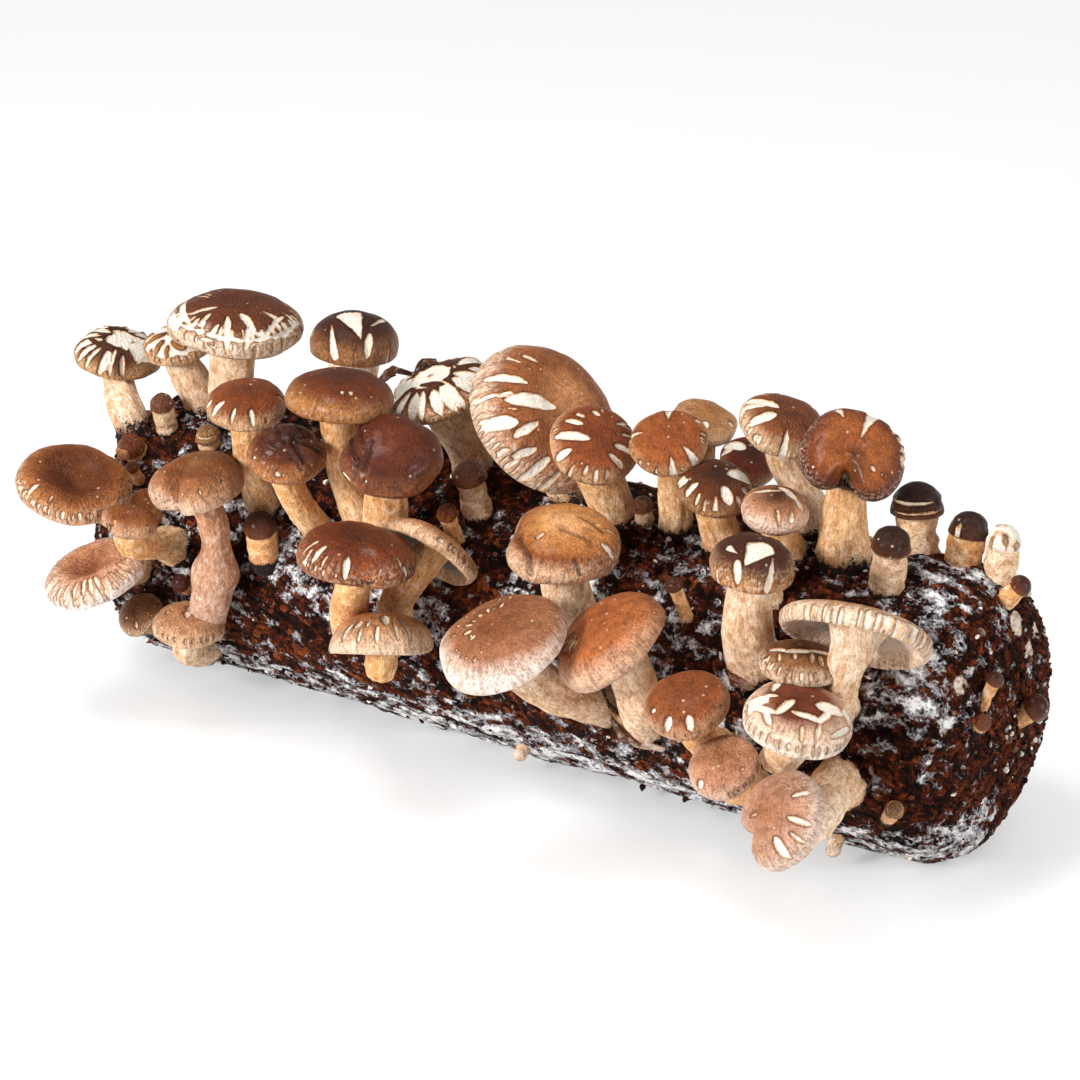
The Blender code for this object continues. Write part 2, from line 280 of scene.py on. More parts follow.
table = Finish("white_table", roughness=0.7, specular=0.2)
grain = table.cloud(table.places(), 9.0)
table.give("Base Color", table.mix(grain, paint("a4a4a4"), paint("a8a8a8")))
# Painted contact shadow: the table's glow goes grey where the log hides the sky.
painted_shadow_openness = table.add("ShaderNodeAmbientOcclusion", {"samples": 2}, {"Distance": CONTACT_REACH}, 1)
table.give("Emission Color", table.ramp(painted_shadow_openness, "0.2 b2b4b4", "0.55 f4f4f4", "0.85 ffffff"))
table.give("Emission Strength", TABLE_GLOW)
table.material.cycles.emission_sampling = "NONE"
floor.data.materials.append(table.material)
print("finish:", table.material.name)

# %% [markdown]
# ## Noise for shaping
# Nothing grown is exactly round. To shape thousands of points at once, the lesson
# needs noise that works on whole arrays: a soft cloud for swellings, and cells for
# crumbs. Both cut space into cubes and give each cube's corner or middle a number
# that depends only on its place, so every run gives the same log.

# %% Clouds and crumbs on arrays
def scramble(cell, seed):
    """A number from 0 to 1 for each whole-numbered place."""
    mixed = cell[:, 0] * 73856093 ^ cell[:, 1] * 19349663 ^ cell[:, 2] * 83492791 ^ seed * 2654435
    mixed = (mixed ^ (mixed >> 13)) * 1274126177 & 0x7FFFFFFF
    mixed = (mixed ^ (mixed >> 15)) * 668265263 & 0x7FFFFFFF
    return ((mixed ^ (mixed >> 11)) & 65535) / 65535.0


def in_cells(points, size):
    scaled = np.asarray(points) / size
    return scaled, np.floor(scaled).astype(np.int64)


def cloud(points, size, seed=0):
    """Smooth noise from -1 to 1 with features about as large as size."""
    scaled, cell = in_cells(points, size)
    part = scaled - cell
    part = part * part * (3 - 2 * part)
    total = np.zeros(len(scaled))
    for corner in np.ndindex(2, 2, 2):
        weight = np.prod(np.where(corner, part, 1 - part), axis=1)
        total += weight * scramble(cell + corner, seed)
    return total * 2 - 1


def rough(points, size, seed=0, octaves=3):
    """Clouds on clouds, each half the size and half the strength of the last."""
    return sum(cloud(points, size / 2 ** k, seed + k) / 2 ** k for k in range(octaves)) / 1.5


def crumbs(points, size, seed=0):
    """For each point the gap to the next crumb, 0 in a crevice, and the crumb's own number."""
    scaled, cell = in_cells(points, size)
    nearest = np.full(len(scaled), 9.0)
    second = np.full(len(scaled), 9.0)
    own = np.zeros(len(scaled))
    for step in np.ndindex(3, 3, 3):
        there = cell + np.array(step) - 1
        middle = there + np.stack([scramble(there, seed + k) for k in (1, 2, 3)], axis=1)
        distance = np.linalg.norm(scaled - middle, axis=1)
        closer = distance < nearest
        second = np.where(closer, nearest, np.minimum(second, distance))
        own = np.where(closer, scramble(there, seed + 9), own)
        nearest = np.where(closer, distance, nearest)
    return second - nearest, own


test = np.array([[0.2, 0.4, 0.9], [5.0, 3.3, 1.2]])
print("cloud at two places:", cloud(test, 1.0).round(3))

# %% [markdown]
# A few more helpers save repeating the same sums. They fade between two values, make
# vectors one long, find the rows of numbers between given rows, and measure a line.

# %% Small sums
def smooth(low, high, value):
    t = np.clip((value - low) / (high - low), 0, 1)
    return t * t * (3 - 2 * t)


def bell(value):
    return np.exp(-value * value)


def unit(vectors):
    return vectors / np.linalg.norm(vectors, axis=-1, keepdims=True)


def between(amount, places, rows):
    """For each amount a row of numbers, found between the rows that stand at the places."""
    return np.stack([np.interp(amount, places, column) for column in np.transpose(rows)], axis=1)


def distances_along(line):
    return np.r_[0, np.cumsum(np.linalg.norm(np.diff(line, axis=0), axis=1))]


def round_places(angle, rise):
    """Places on a tube of radius 1, for noise that meets itself all the way round."""
    return np.c_[np.cos(angle), np.sin(angle), np.broadcast_to(rise, len(angle))]


print("a line of three points:", distances_along(test))

# %% [markdown]
# ## Turning an outline
# Caps, stems and the log itself are round about a line, so each starts as an
# outline that is drawn point by point with Extrude and then spun once round with
# Spin. A sphere or a cylinder from the menu would start faster, but its rings would
# not lie where the rim, the gills and the ends need them.

# %% The turned blank
def turned(name, outline, steps, axis, cuts=0):
    """Draws an outline in mm, cuts its longest edge into more, and spins it once round the axis."""
    points = [Vector(point) * MM for point in outline]
    nothing_selected()
    bpy.ops.mesh.primitive_plane_add(size=MM)
    thing = bpy.context.object
    thing.name = name
    bpy.ops.object.mode_set(mode="EDIT")
    bpy.ops.mesh.select_all(action="SELECT")
    bpy.ops.mesh.merge(type="CENTER")
    bpy.ops.transform.translate(value=points[0])
    for start, end in zip(points, points[1:]):
        bpy.ops.mesh.extrude_region_move(TRANSFORM_OT_translate={"value": end - start})
    if cuts:
        select_longest_edge(thing)
        bpy.ops.mesh.subdivide(number_cuts=cuts)
    bpy.ops.mesh.select_all(action="SELECT")
    bpy.ops.mesh.spin(steps=steps, angle=2 * math.pi, center=(0, 0, 0), axis=axis)
    bpy.ops.mesh.select_all(action="SELECT")
    bpy.ops.mesh.remove_doubles(threshold=MM * 0.0005)
    bpy.ops.mesh.normals_make_consistent(inside=False)
    bpy.ops.object.mode_set(mode="OBJECT")
    bpy.ops.object.shade_smooth()
    return thing


def select_longest_edge(thing):
    bpy.ops.mesh.select_all(action="DESELECT")
    bpy.ops.object.mode_set(mode="OBJECT")
    corners = thing.data.vertices
    edges = thing.data.edges
    longest = max(edges, key=lambda e: (corners[e.vertices[0]].co - corners[e.vertices[1]].co).length)
    longest.select = True
    bpy.ops.object.mode_set(mode="EDIT")


def points_of(thing):
    """Every vertex of a mesh, in mm."""
    flat = np.empty(len(thing.data.vertices) * 3)
    thing.data.vertices.foreach_get("co", flat)
    return flat.reshape(-1, 3) / MM


def move_points(thing, points):
    thing.data.vertices.foreach_set("co", (points * MM).ravel())
    thing.data.update()


print("turning tools ready")

# %% [markdown]
# A shaped copy tells its finish more than its form: where it is bare, how old the
# skin is, how near the foot. Each such thing is an attribute of the mesh, one value
# for each vertex. The finished piece then takes the place of its plain solid.

# %% Copies, attributes and finished pieces
def record(thing, **kept):
    """Keeps a number, a direction or a colour for each vertex, for the finish to read."""
    kinds = {1: ("FLOAT", "value"), 3: ("FLOAT_VECTOR", "vector"), 4: ("FLOAT_COLOR", "color")}
    count = len(thing.data.vertices)
    for name, values in kept.items():
        rows = np.asarray(values, dtype=float)
        rows = (rows if rows.ndim else np.full(count, rows)).reshape(count, -1)
        kind, key = kinds[rows.shape[1]]
        thing.data.attributes.new(name, kind, "POINT").data.foreach_set(key, rows.ravel())


def placed(name, mesh):
    thing = bpy.data.objects.new(name, mesh)
    thing.data.name = name
    bpy.context.scene.collection.objects.link(thing)
    return thing


def joined(things, name):
    nothing_selected()
    for thing in things:
        thing.select_set(True)
    bpy.context.view_layer.objects.active = things[0]
    bpy.ops.object.join()
    things[0].name = name
    return things[0]


def finished(thing, slot_name, node, *materials):
    for material in materials:
        thing.data.materials.append(material)
    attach(thing, "root")
    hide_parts(node)


print("copying tools ready")

# %% [markdown]
# ## Where everything grows
# Each row repeats the construction model's own numbers: the foot on the log (mm
# along it, degrees round it from the top), the middle of the cap's rim, the way the
# cap faces and how far it leans, its radius and height, and the stem's radius under
# the cap and at the foot.

# %% The mushrooms' places
Grown = namedtuple(
    "Grown",
    "foot cap facing radius height stem dip oval notch swell via",
    defaults=(0.0, (1.0, 0), None, 0.0, (0, 0, 0)),
)

MATURE = {
    1: Grown((-168, 31), (-184, -14, 113), (-20, 16), 16.0, 8.0, (5.5, 6.5), notch=(-40, 0.16)),
    2: Grown((-132, 14), (-127, -15, 135), (0, 6), 24.0, 11.0, (8.0, 8.5)),
    3: Grown((-96, 51), (-93, -53, 123), (-50, 15), 14.5, 7.0, (5.0, 6.0)),
    4: Grown((-54, 47), (-55, -49, 132), (45, 4), 19.5, 9.0, (6.0, 6.5)),
    5: Grown((-37, 58), (-29, -56, 118), (-50, 29), 17.5, 10.5, (7.0, 8.0), notch=(-165, 0.10)),
    6: Grown((-157, 68), (-156, -74, 87), (-30, 21), 20.8, 8.0, (6.0, 6.5), dip=6.0),
    7: Grown((-146, 88), (-148, -75, 54), (-109, 20), 19.5, 7.0, (5.5, 6.0), dip=4.0),
    8: Grown(
        (-116, 107), (-105, -67, 94), (-118, 17), 17.0, 11.0, (5.0, 5.5),
        dip=1.0, notch=(-100, 0.36), swell=2.2, via=(6, 4, 0),
    ),
    9: Grown(
        (-45, 91), (-24, -83, 91), (10, 6), 21.0, 10.5, (6.0, 6.5),
        dip=1.0, oval=(0.94, 90), notch=(-54, 0.22),
    ),
    10: Grown((-30, 80), (-12, -57, 87), (80, 50), 18.0, 7.0, (5.5, 6.0)),
    11: Grown((-33, 91), (-14, -83, 60), (123, 21), 18.0, 12.5, (5.0, 5.5)),
    12: Grown((-27, 9), (-37, -16, 128), (-135, 20), 20.0, 7.0, (7.5, 6.5), notch=(-150, 0.18)),
    13: Grown((15, 12), (4, -11, 124), (-7, 46), 29.0, 17.0, (6.5, 7.5), dip=1.0),
    14: Grown((36, 17), (36, -28, 127), (-35, 34), 15.5, 8.0, (7.0, 8.0)),
    15: Grown((46, 68), (45, -62, 104), (-57, 13), 19.5, 10.0, (8.0, 8.0), notch=(-160, 0.14)),
    16: Grown((57, 94), (45, -96, 81), (-120, 28), 23.0, 10.0, (7.5, 6.0), oval=(0.9, 90)),
    17: Grown((74, 96), (73, -76, 81), (-140, 43), 23.0, 11.0, (8.0, 6.0), oval=(0.84, 90)),
    18: Grown((60, 15), (62, -22, 131), (-67, 37), 13.2, 7.0, (4.6, 5.5)),
    19: Grown((104, -6), (93, 0, 136), (-18, 21), 15.2, 7.5, (5.0, 6.0)),
    20: Grown((122, 9), (124, -9, 135), (-50, 41), 17.6, 8.0, (4.6, 9.5), notch=(-68, 0.46)),
    21: Grown((143, 70), (154, -59, 98), (97, 40), 25.5, 6.5, (6.5, 7.0), oval=(0.92, 90)),
    22: Grown((126, 93), (147, -84, 75), (-20, 12), 17.2, 9.0, (6.2, 6.2)),
}
YOUNG = {
    1: Grown((-148, 11), (-156, -13, 122), (-105, 9), 13.0, 6.5, (6.0, 6.5)),
    2: Grown((-91, -4), (-88, 5, 130), (21, 3), 16.5, 11.5, (9.0, 9.5)),
    3: Grown((-69, 57), (-65, -67, 115), (-37, 18), 13.5, 8.5, (5.5, 5.5)),
    4: Grown((-131, 77), (-121, -86, 84), (6, 10), 10.5, 5.0, (4.5, 5.5), notch=(-112, 0.3)),
    5: Grown((-143, 113), (-139, -61, 35), (-97, 33), 9.0, 4.5, (4.0, 4.5)),
    6: Grown((-125, 124), (-115, -63, 37), (-29, 9), 13.0, 6.5, (5.0, 6.0)),
    7: Grown((48, -24), (46, 28, 120), (-20, 19), 12.0, 5.0, (5.0, 5.5)),
    8: Grown((80, 18), (80, -23, 119), (-47, 19), 12.7, 7.0, (6.0, 6.5)),
    9: Grown((67, -24), (66, 25, 110), (-33, 27), 10.5, 6.0, (4.5, 5.0)),
    10: Grown((104, 16), (103, -22, 116), (-47, 16), 11.5, 6.0, (5.0, 6.5)),
    11: Grown((110, 61), (118, -63, 113), (-8, 5), 14.0, 10.0, (7.0, 9.5)),
    12: Grown((130, 67), (138, -66, 86), (51, 4), 13.5, 5.5, (4.0, 4.5)),
    13: Grown((102, 98), (108, -85, 71), (-86, 27), 13.5, 7.0, (5.5, 6.0)),
    14: Grown((115, 110), (123, -87, 54), (-92, 35), 12.0, 6.5, (5.0, 6.0)),
    15: Grown((147, 99), (150, -97, 47), (-118, 55), 16.5, 8.0, (7.0, 8.5), notch=(-142, 0.34)),
}
ALL_GROWN = [*MATURE.values(), *YOUNG.values()]
print("mushrooms:", len(MATURE), "mature and", len(YOUNG), "young")

# %% [markdown]
# ## What each skin looks like
# A young shiitake cap is dark chocolate. It pales towards the rim as it opens, and
# where the skin dries faster than the flesh grows it splits, so that white flesh
# shows in slits, wedges and arcs. Each row below gives the skin's colours from the
# middle to the rim, and the splits in polar places: degrees round the cap, and how
# far from its middle in parts of the way to the rim.

# %% Skins and splits
# A look's skin is three colours from the middle to the rim, or four, of which the
# second is a ring near the middle. Its splits follow as one text of these kinds.
#   slit or wedge: at, inner, outer, width in mm. A wedge is widest at its outer end.
#   slits or wedges: how many, from, to, inner, outer, width. They are spread unevenly.
#   arc: from, to, place, width. It runs round the cap.
#   bare: from, to, inner, outer. The whole skin is gone there.
#   cut or fork: at, place, at, place, width. A fork is widest at its second end.
#   patch: at, place, at, place, width. It is a strip of skin left in bare flesh.
#   plate: at, place, mm along, mm across. It is an island of skin left in bare flesh.
# A dent is at, place, at, place, width, depth in mm: a line along which the skin
# sinks, or swells where the depth is below 0. A stem's bulge is place, mm, width.
# A look's gills scales the colour under the cap; below 1 it is painted shade.
# A look's pale is a side in degrees and an amount: the skin is painted paler towards that side and darker
# away from it, as painted light and shade.
# A narrow dent is also painted darker along its line, as painted shade in the crease.
Look = namedtuple(
    "Look",
    "skin splits lobes lip wrinkle flecks pale bulges stem gloss flare gills dents",
    defaults=("", 0.04, 0.14, 0.0, 0.3, (0, 0.0), (), "golden", 0.0, 0.9, 1.0, ""),
)


def rows_in(text):
    return [tuple(map(float, row.split())) for row in text.split(",") if row]


def splits_in(text):
    """Every split of a look as its kind and its numbers, in the order of the text."""
    for group in text.split(";") if text else []:
        kind, rows = group.split(maxsplit=1)
        for numbers in rows_in(rows):
            yield kind, numbers


MATURE_LOOKS = {
    1: Look(
        "3c1e12 5a3422 c0946c",
        "slits 9 165 325 .14 1.1 2.7, 9 30 165 .2 1.05 3.2; bare 0 360 0 .18, 340 420 .12 .66; "
        "patch 325 .85 5 .8 5, 20 .95 60 .95 3, 215 .45 290 .32 1.6",
        stem="cream", gloss=0.1, lobes=0.06,
    ),
    2: Look(
        "583024 6c3e2e e8cab0",
        "cut 262 .21 243 .54 1.4, 287 .5 283 .79 1.8, 294 .32 301 1.07 2.6, 315 .24 328 .65 2.8, "
        "323 .48 317 .97 2.1, 183 .58 203 .2 .7, 176 .46 184 .26 .7, 2 .93 32 .87 1.2, 304 .76 312 .75 1, "
        "272 .89 287 .85 2.4, 190 .63 257 .7 3.5, 327 .59 338 .73 2.4, 335 .72 359 .54 2.4, "
        "352 .55 20 .5 2.1, 228 .75 249 .83 1, 231 1 252 1.08 1, 281 .92 289 1 1.4; "
        "fork 266 .34 267 .64 2.4, 358 .25 7 .46 1.8; slits 12 20 200 .4 .9 1.8; bare 225 395 .7 .79, "
        "215 245 .66 .92; slits 16 225 395 .5 .8 1.4, 14 225 395 .8 1.06 1.1",
        flecks=0.9, stem="cream",
    ),
    3: Look(
        "6a331c 864828 caa07e",
        "slit 225 .6 1 1.6, 249 .38 .95 2, 286 .42 .9 1.5, 317 .43 .97 1.8, 338 .72 .92 .8; "
        "slits 4 20 200 .5 .95 1.2",
        gloss=0.05,
    ),
    4: Look(
        "4c1e0a 703818 a47048",
        "slit 308 .38 .46 .8, 322 .38 .48 1, 350 .55 .6 .5, 10 .75 .8 .5",
        flecks=0.15, pale=(250, 0.22), gloss=0.22, wrinkle=0.15,
    ),
    5: Look(
        "622c12 50200c 8c5230",
        "arc 238 258 .97 1.6; slit 275 .72 .78 .7",
        lobes=0.05, wrinkle=0.9, flecks=0.1, gloss=0.3,
        dents="182 .78 248 .52 .9 1.2, 269 .56 226 .2 .7 .8, 200 .55 222 .95 .8 .9, "
        "250 .5 262 .85 .7 .7, 235 .3 180 .5 .7 .7",
    ),
    6: Look(
        "6c4028 62321a a4663f d2a284",
        "slit 250 .48 .8 1.4, 232 .7 .88 .6, 279 .52 .68 .7, 297 .74 1.02 1.6; "
        "slits 22 205 345 .74 1.06 1.1, 12 0 200 .7 1.04 1.3",
        lip=0.16, wrinkle=0.3, flecks=0.6, gloss=0.1, dents="339 .2 339 .34 7 2.8",
    ),
    7: Look(
        "8e5544 d89e7c f0d0bc fff4ee",
        "slit 248 .4 .75 1.2, 262 .5 .85 1.2, 272 .4 .8 1.3, 286 .35 .75 1.4, 297 .3 .7 1.6, "
        "308 .3 .75 1.6, 320 .3 .7 1.4; slits 14 325 395 .35 .95 .55, 14 150 232 .45 .95 .55, "
        "11 235 330 .7 1.08 1",
        flecks=0.5, wrinkle=0.1, dents="200 .08 200 .14 3.5 1.4",
    ),
    8: Look(
        "7c5440 7c4a32 a87458 dcb8a2",
        "slit 350 .65 .75 .6, 318 .6 .72 .5",
        flecks=0.25, pale=(215, 0.3), stem="mauve", gloss=0.06, wrinkle=0.2,
        bulges=((0.5, 1.6, 0.07), (0.66, -0.8, 0.08), (0.22, 1.0, 0.1)),
        dents="230 .1 262 .5 3 3.2, 262 .5 262 .9 3.2 2.6, 200 .5 210 .8 4 -1.2, 330 .5 330 .7 6 -1",
    ),
    9: Look(
        "461c0a 743818 8e5432",
        "slit 216 .58 .78 .8, 235 .42 .82 1.1, 244 .6 .97 1.2, 255 .42 .88 2, 268 .6 .92 1.1, "
        "292 .46 .98 2.5, 358 .58 .82 1.1, 2 .76 1 1.4; slits 9 235 275 .85 1.06 .9, 5 0 30 .82 1.06 .9, "
        "4 280 330 .86 1.05 .9, 9 60 210 .6 1 1.2",
        wrinkle=0.6, flecks=0.4, gloss=0.25, flare=4.5,
    ),
    10: Look(
        "d2966a c2845a dcb190",
        "slits 9 296 372 .7 1.02 .9, 8 20 120 .8 1.02 .8",
        # Its underside is painted dark by gills below 1, as painted shade.
        flecks=0.5, gloss=0.05, gills=0.27,
    ),
    11: Look(
        "a86c48 c8926c e6c2a8",
        "slit 258 .45 .85 1.6, 270 .38 .6 1.8, 278 .55 .85 1.4, 285 .4 .55 .8, 300 .5 .85 1.6, "
        "312 .18 .5 2.6, 325 .4 .8 1, 343 .3 .8 1.4",
        lip=0.06, flecks=0.6,
    ),
    12: Look(
        "3c1c12 5e3420 c08e66",
        "slits 11 170 345 .14 1.1 3.3, 10 345 530 .2 1.1 4; bare 0 360 0 .2, 180 240 .2 .75; "
        "patch 262 .14 330 .3 1.6",
        stem="cream", lobes=0.08, flecks=0.8,
    ),
    13: Look(
        # Its light centre is partly its own tan and partly a painted highlight.
        "ce9268 92583a 9c6244 ecc6ac",
        "cut 275 .09 240 .57 4.5, 219 .31 216 .84 3.1, 178 .31 183 .51 1.4, 263 .51 252 .99 5.6, "
        "274 .34 271 .68 2.8, 233 .61 234 1 2.1, 291 .55 281 .85 3.1, 304 .56 297 1.08 3.8, "
        "318 .67 312 1.08 2.4, 276 .77 272 .99 1.8, 286 .79 282 1.08 2.1, 194 .42 192 .66 .9, "
        "232 .45 236 .64 1.4, 253 .44 248 .57 .7, 196 .31 197 .38 .7, 260 1 263 1.08 1; "
        "slits 30 170 322 .8 1.1 1.2, 7 60 150 .7 1 1.4",
        flecks=1.3, pale=(200, 0.1), gloss=0.12, wrinkle=0.3,
        dents="20 .15 200 .1 6 2, 350 .25 330 .5 3 -1.2",
    ),
    14: Look(
        "743a1c 8a4a2c d0a078",
        "cut 264 .13 221 .79 2.8, 190 .19 192 .54 1.8, 166 .27 170 .46 1.4, 255 .46 249 1 2.8, "
        "330 .31 347 .72 2.1, 0 .23 14 .58 1.8, 42 .29 47 .62 1.4, 76 .3 73 .9 1.4, 68 .42 63 .89 1.2, "
        "136 .44 126 .26 1.4, 109 .54 104 .75 1, 119 .55 117 .41 .7, 93 .7 84 .9 .9; "
        "fork 274 .63 274 1.06 2.1; slit 207 .65 .9 1, 290 .55 .85 1.2, 305 .6 1 1.8, 321 .6 .95 1.2",
        flecks=0.5, gloss=0.08,
    ),
    15: Look(
        "e4aa78 c48450 8a4c26 d0a488",
        "slit 3 .5 .92 2, 30 .45 .8 .6, 255 .2 .34 .7, 236 .75 .9 .6",
        lobes=0.05, wrinkle=1.0, flecks=0.5, gloss=0.2, stem="cream", pale=(235, 0.22),
        dents="227 .5 262 .62 1.3 1.4, 262 .62 273 .9 1.3 1.6, 319 .62 322 .92 .8 1, "
        "300 .1 350 .4 .7 .6, 60 .2 20 .45 .8 .6",
    ),
    16: Look(
        "7a4832 a26e58 f4dfd2",
        "slits 9 90 250 .15 .28 .8, 7 60 210 .35 .48 .7, 5 225 275 .38 .5 .7; slit 235 .55 .8 1.2",
        flecks=0.15, pale=(240, 0.34), gloss=0.1, stem="cream",
    ),
    17: Look(
        "944f2c ae6842 d6ac92",
        "slits 6 200 262 .12 .4 .7",
        flecks=0.1, pale=(230, 0.3), gloss=0.16, stem="cream",
    ),
    18: Look(
        "864628 985836 c8946e",
        "wedge 345 .3 .92 4, 307 .4 1.05 4.2, 120 .2 .85 3.4, 280 .72 .98 1.6, 200 .4 1 2.6; "
        "slit 62 .55 .85 2.2, 35 .55 .8 .8, 28 .55 .8 .8, 22 .6 .8 .8, 248 .8 1 1.2, 322 .75 .9 1.2; "
        "slits 5 200 235 .7 1 .8",
        flecks=0.3,
    ),
    19: Look(
        "62362a 8a5236 dcb896",
        "slit 188 .1 .9 2.8, 205 .3 1 2.4, 240 .15 .78 3.4, 265 .7 1 2, 15 .45 .55 .8, 125 .4 .6 1.4; "
        "wedge 300 .33 1.08 3.8, 340 .6 .85 3.2; slits 8 175 262 .72 1.05 1.4, 5 30 170 .4 .95 1.6",
        pale=(240, 0.2), stem="cream", gloss=0.1,
    ),
    20: Look(
        "8a4c2a 9c5a32 6a3018 34140a",
        "wedge 98 .12 .9 5, 140 .4 .85 3, 208 .8 1 1.6; slits 14 20 75 .6 1.05 1; slit 338 .25 .35 .6, "
        "345 .4 .48 .6, 240 .6 .65 .8",
        lobes=0.035, wrinkle=0.4, flecks=0.5, gloss=0.3,
        dents="200 .05 285 .45 3.2 2, 285 .45 292 .95 3.6 4, 255 .6 255 .75 5 -1.8, "
        "330 .6 335 .8 5 -2, 298 .1 305 .45 1.8 -1.4",
    ),
    21: Look(
        "945f40 c49674 ecd0b8",
        "slits 22 0 300 .74 1.2 1.2, 12 298 360 .7 1.2 1.7, 12 200 330 .9 1.25 .9",
        lip=0.16, flecks=0.7, flare=3.5, stem="cream",
    ),
    22: Look(
        "5a2412 743a24 e8c6ac f6e2d4",
        "cut 272 .22 338 .38 2.4, 330 .38 12 .33 2.4, 222 .04 256 .4 2.4, 13 .12 24 .55 4, "
        "205 .52 203 .2 1, 340 .66 18 .8 3, 303 .42 303 .72 1.2, 334 .38 320 .7 1.2, 256 .36 215 .75 3, "
        "235 .45 262 .62 2.6, 17 .52 13 .69 .7, 25 .5 40 .9 3, 190 .3 150 .5 2.4; bare 196 228 .34 .8, "
        "20 60 .55 .9; slits 14 210 330 .74 1.05 .9, 8 330 400 .8 1.05 1.4",
        flecks=1.0, stem="cream", gloss=0.05,
    ),
}
YOUNG_LOOKS = {
    1: Look(
        "4e2c1a a8744c dcb48c",
        "bare 0 360 .1 .86; patch 240 .1 232 .62 2, 228 .6 224 1 2.2, 300 .3 322 .7 3, 338 .25 346 .8 2, "
        "270 .3 268 .8 1.6, 290 .45 290 .9 1.2, 350 .9 12 .7 2.6, 205 .4 195 1 3.4, 255 .65 257 1 2, "
        "60 .2 60 1 5, 140 .2 140 1 5; slits 12 200 380 .85 1.08 1.2",
        stem="cream",
    ),
    2: Look(
        "30160f 44241a 9a6844",
        "fork 315 .56 202 .09 6.6, 335 .34 52 .45 2.4, 251 .39 280 .96 4.5, 2 .68 354 1.08 1.8; "
        "cut 333 .45 321 .95 3.1; wedge 120 .3 1 4, 215 .5 1 2.4, 170 .5 1 2",
        flecks=0.15, stem="grey", gloss=0.08,
    ),
    3: Look(
        "341608 5a2a12 b0703f",
        "slit 247 .7 .8 1.2, 293 .75 .9 1.8, 298 .8 .9 1, 302 .8 .9 1, 15 .5 .6 .8",
        wrinkle=1.2, flecks=0.2, gloss=0.3,
        dents="339 .15 339 .6 .8 1.3, 10 .1 20 .6 .8 1.2, 66 .45 66 .95 2.1 2.4, "
        "310 .3 330 .75 .6 .8, 45 .1 55 .5 .8 1",
    ),
    4: Look(
        "6c3c26 8c5638 c6967a",
        "slit 350 .6 .95 1",
        wrinkle=0.3, pale=(245, 0.3), stem="golden", bulges=((0.12, 2.0, 0.12),),
        dents="240 .15 250 .55 2.1 1.6, 30 .1 30 .3 3 -0.8",
    ),
    5: Look(
        "7a5646 8a6452 b08c74",
        "slit 300 .4 .7 1.2, 250 .3 .4 .9, 350 .5 .6 .9",
        flecks=0.9, stem="mauve",
    ),
    6: Look(
        "b08064 c99a7a dfb696",
        "slit 110 0 .2 1.8, 295 0 .15 1.4, 30 .3 .45 1.4, 215 .3 .4 1; slits 12 210 380 .75 1.02 .7",
        wrinkle=0.2, stem="cream", bulges=((0.12, 1.6, 0.15),),
    ),
    7: Look(
        "a06c4a bd8e6c dab292",
        "slit 300 .25 .5 2.2, 15 .45 .7 1.6, 60 .6 1 1.4, 68 .6 1 1.4, 75 .6 1 1.4, 255 .4 .6 1; "
        "bare 180 232 .75 1.05",
    ),
    8: Look(
        "32180e 66381f a87856",
        "slit 247 .35 .85 2.4, 222 .45 .85 2, 212 .5 .9 2, 328 .25 .75 3.4, 10 .5 .75 1.8, 43 .15 .85 4.6, "
        "70 .4 .9 1.6, 270 .5 .9 1.4, 345 .55 .95 1.2; wedge 285 .6 .95 1.6, 302 .5 .85 2",
    ),
    9: Look("32180f 642c1a 965e3c", "slit 188 .1 .85 4, 210 .4 .95 2.2, 265 .5 .95 3.4"),
    10: Look(
        "4e2818 b8846a e8c4b0",
        "cut 203 .95 185 .52 1.4, 187 .57 89 .17 1.6, 119 .34 27 .37 2.4, 41 .3 7 .63 2.1, "
        "304 .3 306 .81 .8, 236 .55 229 1 .8; fork 346 .37 330 .7 2.1; slits 4 20 170 .5 1 1.2",
        pale=(290, 0.3), gloss=0.15,
    ),
    11: Look(
        "3c1c12 4a2416 b07c54",
        "fork 268 .39 225 .4 2.4, 285 .56 326 .17 7.3, 237 .74 248 1.08 1.8, 338 .41 319 1 3.8; "
        "cut 268 .48 280 1 3.1, 231 .72 237 .7 .7; wedge 30 .5 1.05 2.4, 100 .4 1 3, 190 .5 1.05 2",
        flecks=0.6, gloss=0.1, stem="cream",
    ),
    12: Look(
        "54301e 946850 d8b8a0",
        "cut 212 .56 233 .21 2.1, 234 .29 2 .12 2.1, 354 .07 27 .51 1.8, 238 .36 258 .54 1, "
        "272 .18 284 .35 1, 345 .16 319 .44 1, 358 .27 334 .59 1.4, 230 .54 241 .8 1; "
        "slits 12 215 350 .6 1.04 .9",
        flecks=0.9,
    ),
    13: Look(
        "763f24 8d5033 c79472",
        "slit 268 .45 .9 2.6, 306 .4 .85 2.6, 232 .5 .65 1.4, 5 .72 .8 .8; slits 6 215 330 .85 1.04 .9",
        wrinkle=0.2, gloss=0.08,
    ),
    14: Look(
        "9a6850 c08c76 d8b09c",
        "slit 255 .5 .8 2.4, 350 .45 .55 .8; slits 8 300 380 .8 1.02 .8",
        wrinkle=0.2, flecks=0.6,
    ),
    15: Look(
        "9c6a56 c09482 e2c6b8",
        "slit 30 .38 .8 1.7, 347 .33 .86 1.9, 327 .48 .88 1.2, 303 .33 .9 2.8, 248 .55 .92 1.4, "
        "190 .1 .25 .6",
        flecks=0.5, gloss=0.08, stem="grey",
    ),
}
print("looks:", len(MATURE_LOOKS) + len(YOUNG_LOOKS))

# %% [markdown]
# ## The cap's blank
# A cap is a dome whose rim rolls under. Below it a ring of gills rises to the stem.
# One blank of radius 1 is turned for the large caps and lighter ones for the small
# ones, and each cap is a copy of a blank, stretched and bent. The dome is measured
# by its way from the middle: 0 at the top, 1 at the rim, and more underneath.

